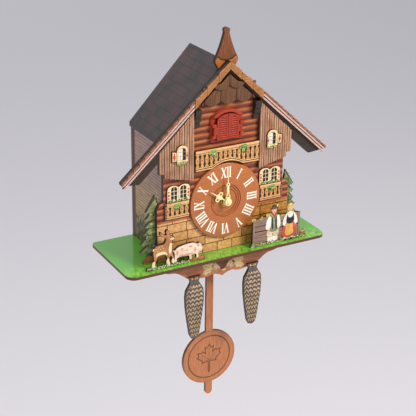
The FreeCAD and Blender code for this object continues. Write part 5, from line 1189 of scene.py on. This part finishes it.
def makeBench():
    y = figureFront * 1000
    outline = [(25.4, 0.1), (79.4, 0.1), (79.4, 27.0), (74.0, 28.4), (66.0, 28.0), (58.0, 29.2),
               (50.0, 30.2),
               (42.0, 30.4), (34.0, 28.6), (29.4, 29.2), (26.0, 26.0)]
    parts = [cutOut([outline], y + 0.8, 2.2, "burntEdgeAndShadow", bevel=0.1)]
    for low, high in ((21.4, 26.6), (15.8, 20.8), (9.8, 14.8)):
        parts.append(block(27.2, 78.8, y + 0.5, y + 1.0, low, high, "benchPlank", 0.25))
    crest = [(26.6, 26.4), (78.8, 26.0), (74.0, 28.0), (66.0, 27.6), (58.0, 28.8), (50.0, 29.8),
             (42.0, 30.0),
             (34.0, 28.2), (29.6, 28.8)]
    parts.append(cutOut([crest], y + 0.3, 0.7, "benchPlank", bevel=0.2))
    for x in (25.6, 76.8):
        parts.append(block(x, x + 2.4, y + 0.1, y + 1.0, 0.4, 28.2, "benchPlank", 0.35))
    parts.append(block(26.0, 79.0, y - 0.1, y + 0.9, 9.2, 11.4, "benchPlank", 0.35))
    parts.append(block(27.4, 78.6, y + 0.5, y + 1.0, 3.4, 8.7, "benchPlank", 0.25))
    for x in (31.0, 56.2, 75.0):
        parts.append(block(x, x + 1.8, y + 0.3, y + 1.0, 0.6, 9.2, "benchPlank", 0.25))
    # seated man: stockings, breeches, waistcoat, sleeves, hands on the knees
    layers = [
            ([(43.4, 1.2), (46.0, 1.2), (46.4, 9.0), (43.6, 9.0)], "blouse"),
            ([(49.4, 1.2), (52.0, 1.2), (52.2, 9.0), (49.0, 9.0)], "blouse"),
            ([(42.4, 0.6), (46.6, 0.6), (46.4, 2.2), (44.0, 2.6)], "felt"),
            ([(49.0, 0.6), (53.4, 0.6), (51.8, 2.6), (49.2, 2.2)], "felt"),
            ([(42.0, 8.2), (47.6, 7.6), (48.0, 11.0), (48.8, 7.6), (53.4, 8.2), (54.0, 14.6), (48.0, 16.2),
              (42.4, 14.6)], "lederhosen"),
            ([(43.6, 14.0), (53.2, 14.0), (54.2, 22.0), (53.0, 29.6), (50.6, 31.8), (47.4, 31.8),
              (44.0, 29.6),
              (42.8, 22.0)], "shirt"),
            ([(40.2, 16.4), (42.2, 15.6), (45.4, 18.0), (45.8, 21.0), (44.6, 29.4), (41.6, 27.0),
              (40.2, 21.4)],
             "blouse"),
            ([(54.8, 15.6), (56.2, 18.0), (55.8, 24.6), (53.2, 29.4), (51.6, 26.0), (52.2, 18.6)], "blouse"),
            ([(46.6, 31.6), (51.6, 31.6), (50.2, 29.2), (49.2, 26.4), (48.0, 29.2)], "redPaint"),
            ([(47.2, 15.0), (48.0, 15.0), (46.8, 28.6), (46.0, 28.4)], "felt"),
            ([(51.2, 15.0), (52.0, 15.0), (51.6, 28.4), (50.8, 28.6)], "felt"),
            # seated woman: shoes, skirt, apron, bodice and blouse
            ([(61.6, 1.2), (64.0, 1.2), (64.4, 6.0), (61.6, 6.0)], "blouse"),
            ([(67.6, 1.2), (70.0, 1.2), (70.2, 6.0), (67.4, 6.0)], "blouse"),
            ([(60.8, 0.6), (64.6, 0.6), (64.2, 2.4), (62.2, 2.6)], "bodice"),
            ([(67.2, 0.6), (71.2, 0.6), (69.8, 2.6), (67.4, 2.4)], "bodice"),
            ([(58.8, 5.6), (73.8, 5.6), (74.4, 12.0), (71.2, 19.8), (63.0, 19.8), (59.4, 13.0)], "skirt"),
            ([(62.2, 6.4), (70.6, 6.4), (70.8, 12.0), (69.4, 18.6), (64.0, 18.6), (62.0, 12.0)],
             "apronCloth"),
            ([(60.2, 16.6), (63.6, 19.6), (64.2, 28.6), (61.6, 26.4), (59.2, 20.6)], "blouse"),
            ([(75.0, 16.6), (75.6, 21.0), (73.4, 26.6), (70.8, 28.6), (70.6, 20.4)], "blouse"),
            ([(63.6, 18.6), (71.0, 18.6), (71.8, 24.6), (70.4, 28.0), (69.0, 24.8), (65.6, 24.8),
              (64.4, 28.0),
              (63.0, 24.6)], "bodice"),
            ([(65.4, 24.4), (69.4, 24.4), (70.4, 28.4), (68.4, 30.4), (66.4, 30.4), (64.4, 28.4)], "blouse")]
    for index, (loop, look) in enumerate(layers):
        parts.append(cutOut([loop], y - 0.1 - index * 0.022, 0.9, look, True, bevel=0.3))
    for x, z in ((43.6, 15.6), (54.0, 15.6), (61.4, 16.4), (73.6, 16.4)):
        parts.append(ball(x, y - 0.1, z, (1.2, 0.5, 1.0), "skin", rings=7))
    for x, z, sizes in ((48.9, 31.8, (1.2, 0.5, 1.6)), (67.4, 30.6, (1.1, 0.5, 1.4))):
        parts.append(ball(x, y + 0.1, z, sizes, "skin", rings=7))
    person(49.0, 31.6, True, parts)
    person(67.4, 30.2, False, parts)
    for x in (64.2, 70.6):
        parts.append(ball(x, y - 0.1, 28.6, (0.7, 0.5, 3.2), "hair", rings=7))
    # basket with flowers beside the bench, a vine on its back, and grass along the foot
    parts.append(cutOut([[(80.0, 0.4), (85.2, 0.4), (86.0, 6.4), (79.4, 6.4)]], y - 0.1, 2.6, "barkFoot",
                        bevel=0.4))
    for z in (1.6, 3.2, 4.8):
        parts.append(block(79.8, 85.6, y - 0.25, y, z - 0.2, z + 0.2, "burntEdgeAndShadow", 0.08))
    parts += flowerCluster(82.6, y, 7.6, 3.2, 1.7, 26, 201)
    for x, z, seed in ((26.8, 29.4, 211), (35.4, 29.6, 213), (42.8, 31.6, 215), (57.2, 28.6, 217)):
        parts += flowerCluster(x, y + 0.4, z - 0.8, 2.4, 1.2, 12, seed, "leafYellow")
    parts += grassStrip(23.8, 85.4, 3.4, 301)
    gather("benchCouple", parts, nodes=["bench_couple_cutout"])


makeAnimals()
makeBench()
print("figures made")

# apron leaves and grapes, hanging cones, and the engraving on the pendulum
leafHalf = [(0, 1.0), (0.16, 0.72), (0.34, 0.80), (0.28, 0.30), (0.52, 0.52), (0.60, 0.40), (0.92, 0.46),
            (0.82, 0.18),
            (0.95, 0.08), (0.52, -0.26), (0.58, -0.42), (0.06, -0.34), (0.05, -0.95)]
leafWhole = leafHalf + [(-x, z) for x, z in reversed(leafHalf[1:])]
coneLook = {"x": 32.3, "top": -21.3, "rows": 11, "pitch": 4.75}


def burntLine(loop, front, width, look="burntEdgeAndShadow"):
    # scorched line drawn on a board
    flat = bpy.data.curves.new("burntLine", "CURVE")
    flat.dimensions = "2D"
    flat.fill_mode = "NONE"
    flat.bevel_depth = width / 2000
    flat.bevel_resolution = 2
    spline = flat.splines.new("POLY")
    spline.points.add(len(loop) - 1)
    for point, (x, z) in zip(spline.points, loop):
        point.co = (x / 1000, z / 1000, 0, 1)
    spline.use_cyclic_u = True
    piece = bpy.data.objects.new("burntLine", flat)
    bpy.context.collection.objects.link(piece)
    selectOnly(piece)
    bpy.ops.object.convert(target="MESH")
    piece.rotation_euler = (math.pi / 2, 0, 0)
    piece.scale = (1, 1, 0.3)
    piece.location = (0, front / 1000, plateTop)
    return settle(piece, look)


def makeApron():
    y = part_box("apron_board")[0].y * 1000
    parts = []
    for x, z, size, turn in ((-14.6, -17.6, 9.2, -62), (16.2, -17.8, 9.2, 58), (-6.6, -17.2, 5.4, -160),
                             (8.6, -17.0, 5.4, 165), (1.6, -22.6, 2.6, 180)):
        loop = shifted(turned(leafWhole, turn), x, z, size)
        loop = [(a, min(b, -7.0)) for a, b in loop]
        parts.append(cutOut([loop], y - 0.22, 0.3, "leafBeige", bevel=0.08))
        vein = [(x, z), tuple(loop[0])]
        parts.append(burntLine(vein, y - 0.22, 0.25, "barkFoot"))
    for row, count in enumerate((7, 6, 5, 4, 3, 2)):
        for index in range(count):
            x = 0.4 + (index - (count - 1) / 2) * 2.3
            parts.append(ball(x, y - 0.25, -12.6 - row * 1.7, (1.25, 0.5, 1.15), "grape", rings=7))
    gather("apronPrint", parts)


def makeCones():
    c = coneLook
    top = c["top"]
    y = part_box("cone_left")[0].y * 1000
    right = [(6.6, 0.0), (5.4, -3.0), (4.6, -5.6), (6.4, -9.0), (9.5, -14.0), (10.4, -21.0), (9.9, -32.0),
             (7.8, -48.0),
             (5.6, -62.0), (3.4, -66.8), (0.0, -68.1)]
    for side, node in ((-1, "cone_left"), (1, "cone_right")):
        x = side * c["x"]
        loop = [(x + a, top + b) for a, b in right] + [(x - a, top + b) for a, b in reversed(right[:-1])]
        hole = ring(x, top - 1.7, 0.85, 16)
        parts = [cutOut([loop, hole], y, 3.0, "coneDark", bevel=0.5)]
        for light in (-2.6, 2.6):
            parts.append(ball(x + light, y, top - 2.2, (1.0, 0.25, 0.8), "coneGold", rings=6))
        for row in range(c["rows"] + 1):
            z = top - 10.5 - row * c["pitch"]
            half = 0.0
            for (a0, b0), (a1, b1) in zip(right, right[1:]):
                if b1 <= z - top <= b0:
                    half = a0 + (a1 - a0) * (z - top - b0) / (b1 - b0)
            teeth = 3 if row == c["rows"] else 4
            reach = half - 1.1
            zigzag = []
            for step in range(teeth * 2 + 1):
                at = x - reach + 2 * reach * step / (teeth * 2)
                zigzag.append((at, z - (2.3 if step % 2 == 0 else -1.3)))
            thick = [(a, b + 1.15) for a, b in reversed(zigzag)]
            under = [(a, b - 1.0) for a, b in zigzag] + [(a, b + 1.3) for a, b in reversed(zigzag)]
            parts.append(cutOut([under], y - 0.12, 0.5, "coneScale", bevel=0.06))
            parts.append(cutOut([zigzag + thick], y - 0.3, 0.4, "coneGold", bevel=0.12))
            for index in range(teeth):
                at = x - reach + 2 * reach * (index + 0.5) / teeth
                parts.append(ball(at, y, z + 2.1, (reach / teeth * 0.8, 0.4, 0.9), "coneScale", rings=7))
                if row < 5 and index in (1, 2, 3):
                    parts.append(ball(at, y - 0.3, z - 0.2, (0.35, 0.2, 0.9), "petal", rings=5))
        gather("cone" + ("Left" if side < 0 else "Right"), parts, node, [node])


engravingLook = {"bob": -133.0, "ring": 24.0, "rim": 29.6}


def makeEngraving():
    # scorched ring, rim and leaf on the bob
    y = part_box("pendulum_board")[0].y * 1000
    bob = engravingLook["bob"]
    leaf = [(a * 14.4, b * 14.6 if b > -0.5 else b * 18.6) for a, b in leafWhole]
    leaf = [(a, b + bob) for a, b in leaf]
    parts = [burntLine(ring(0, bob, engravingLook["ring"], 96), y, 1.3, "engraved"),
             burntLine(leaf, y, 1.1, "engraved"),
             burntLine(ring(0, bob, engravingLook["rim"], 120), y + 0.05, 0.5, "engraved")]
    for a, b in ((0, 0.72), (0.6, 0.28), (-0.6, 0.28), (0.4, -0.24), (-0.4, -0.24)):
        parts.append(burntLine([(0, bob - 3.6), (a * 14.4, b * 14.6 + bob)], y, 0.4, "engraved"))
    gather("pendulumEngraving", parts, "pendulum")


# cuckoo: eyes, beak, folded wings and a pale breast on the turned body
def makeBird():
    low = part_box("bird")[0]
    base, y = mm(low.z), low.y * 1000 + 8.6
    parts = [ball(0, y - 7.0, base + 9.9, (0.95, 1.9, 0.8), "beakPaint", (6, 0, 0)),
             ball(0, y - 2.9, base + 5.2, (3.1, 2.9, 3.4), "breastPaint", rings=12)]
    for side in (-1, 1):
        parts.append(ball(side * 2.15, y - 5.2, base + 10.9, (0.5, 0.65, 0.65), "black"))
        parts.append(ball(side * 2.0, y - 5.0, base + 10.9, (0.5, 0.95, 0.95), "petal"))
        parts.append(ball(side * 3.3, y + 2.6, base + 5.6, (0.9, 5.2, 2.5), "wingPaint", (-14, 0, 0), 12))
    gather("birdPaintwork", parts, "bird_carriage")


looks["beakPaint"] = moulded("yellowBeakPaint", "#e2a92e", "#c4862a", 0.4)
looks["breastPaint"] = moulded("paleBreastPaint", "#e6dccb", "#b7a891", 0.5, specksMm=1.4)
looks["wingPaint"] = moulded("greyWingPaint", "#5c6a7a", "#3c4654", 0.5, specksMm=1.0)
makeBird()
looks["engraved"] = moulded("scorchedLine", "#6e4526", "#54331c", 0.6)
makeApron()
makeCones()
makeEngraving()
print("apron, cones and pendulum made")

# floor, light and camera
stage = {"floorDrop": 0.45, "floorTone": "#d8d7dc", "floorMottle": "#d6d5db", "sky": "#e9e9ee",
         "skyPower": 0.62}
lamps = {
    "keyLamp": {"place": (0.75, -1.25, 1.05), "size": 0.55, "power": 33.0, "tone": "#fff6ea"},
    "fillLamp": {"place": (-1.5, -0.9, 0.7), "size": 1.4, "power": 10.5, "tone": "#fbfaff"},
    "topLamp": {"place": (-0.1, 0.3, 1.5), "size": 1.3, "power": 9.0, "tone": "#ffffff"},
    "floorLamp": {"place": (0.6, 4.6, 3.8), "size": 2.0, "power": 42.0, "tone": "#ffffff",
                  "aim": (0.9, 4.8, -1)},
}
bpy.ops.object.select_all(action="DESELECT")
bpy.ops.mesh.primitive_plane_add(size=14, location=(0, 2.0, cadBox[0][2] - stage["floorDrop"]))
floor = bpy.context.object
floor.name = "studioFloor"
floorLook, floorTree, floorShader = newLook("paintedStudioFloor", 0.9)
mottle = addNode(floorTree, "TexNoise", {"Vector": objectPlace(floorTree), "Scale": 0.8})
floorTone = addNode(floorTree, "Mix", {0: mottle, 6: stage["floorTone"], 7: stage["floorMottle"]},
                    data_type="RGBA").outputs[2]
floorTree.links.new(floorTone, floorShader.inputs["Base Color"])
floor.data.materials.append(floorLook)
world = bpy.data.worlds.new("studioAir")
world.use_nodes = True
world.node_tree.nodes["Background"].inputs[0].default_value = hexColour(stage["sky"])
world.node_tree.nodes["Background"].inputs[1].default_value = stage["skyPower"]
bpy.context.scene.world = world
for lampName, lamp in lamps.items():
    bpy.ops.object.light_add(type="AREA", location=lamp["place"])
    light = bpy.context.object
    light.name = lampName
    light.data.size = lamp["size"]
    light.data.energy = lamp["power"]
    light.data.color = hexColour(lamp["tone"])[:3]
    aim = Vector(lamp.get("aim", (0, -0.03, -0.1)))
    light.rotation_euler = (aim - light.location).to_track_quat("-Z", "Y").to_euler()
view = {"place": (-0.4801, -0.9014, 0.3048), "turn": (66.736, -0.632, -28.835), "lens": 95.71, "sensor": 36}
bpy.ops.object.camera_add(location=view["place"], rotation=[math.radians(a) for a in view["turn"]])
camera = bpy.context.object
camera.data.lens = view["lens"]
camera.data.sensor_width = view["sensor"]
bpy.context.scene.camera = camera
bpy.context.scene.view_settings.view_transform = "Standard"
print("stage set")
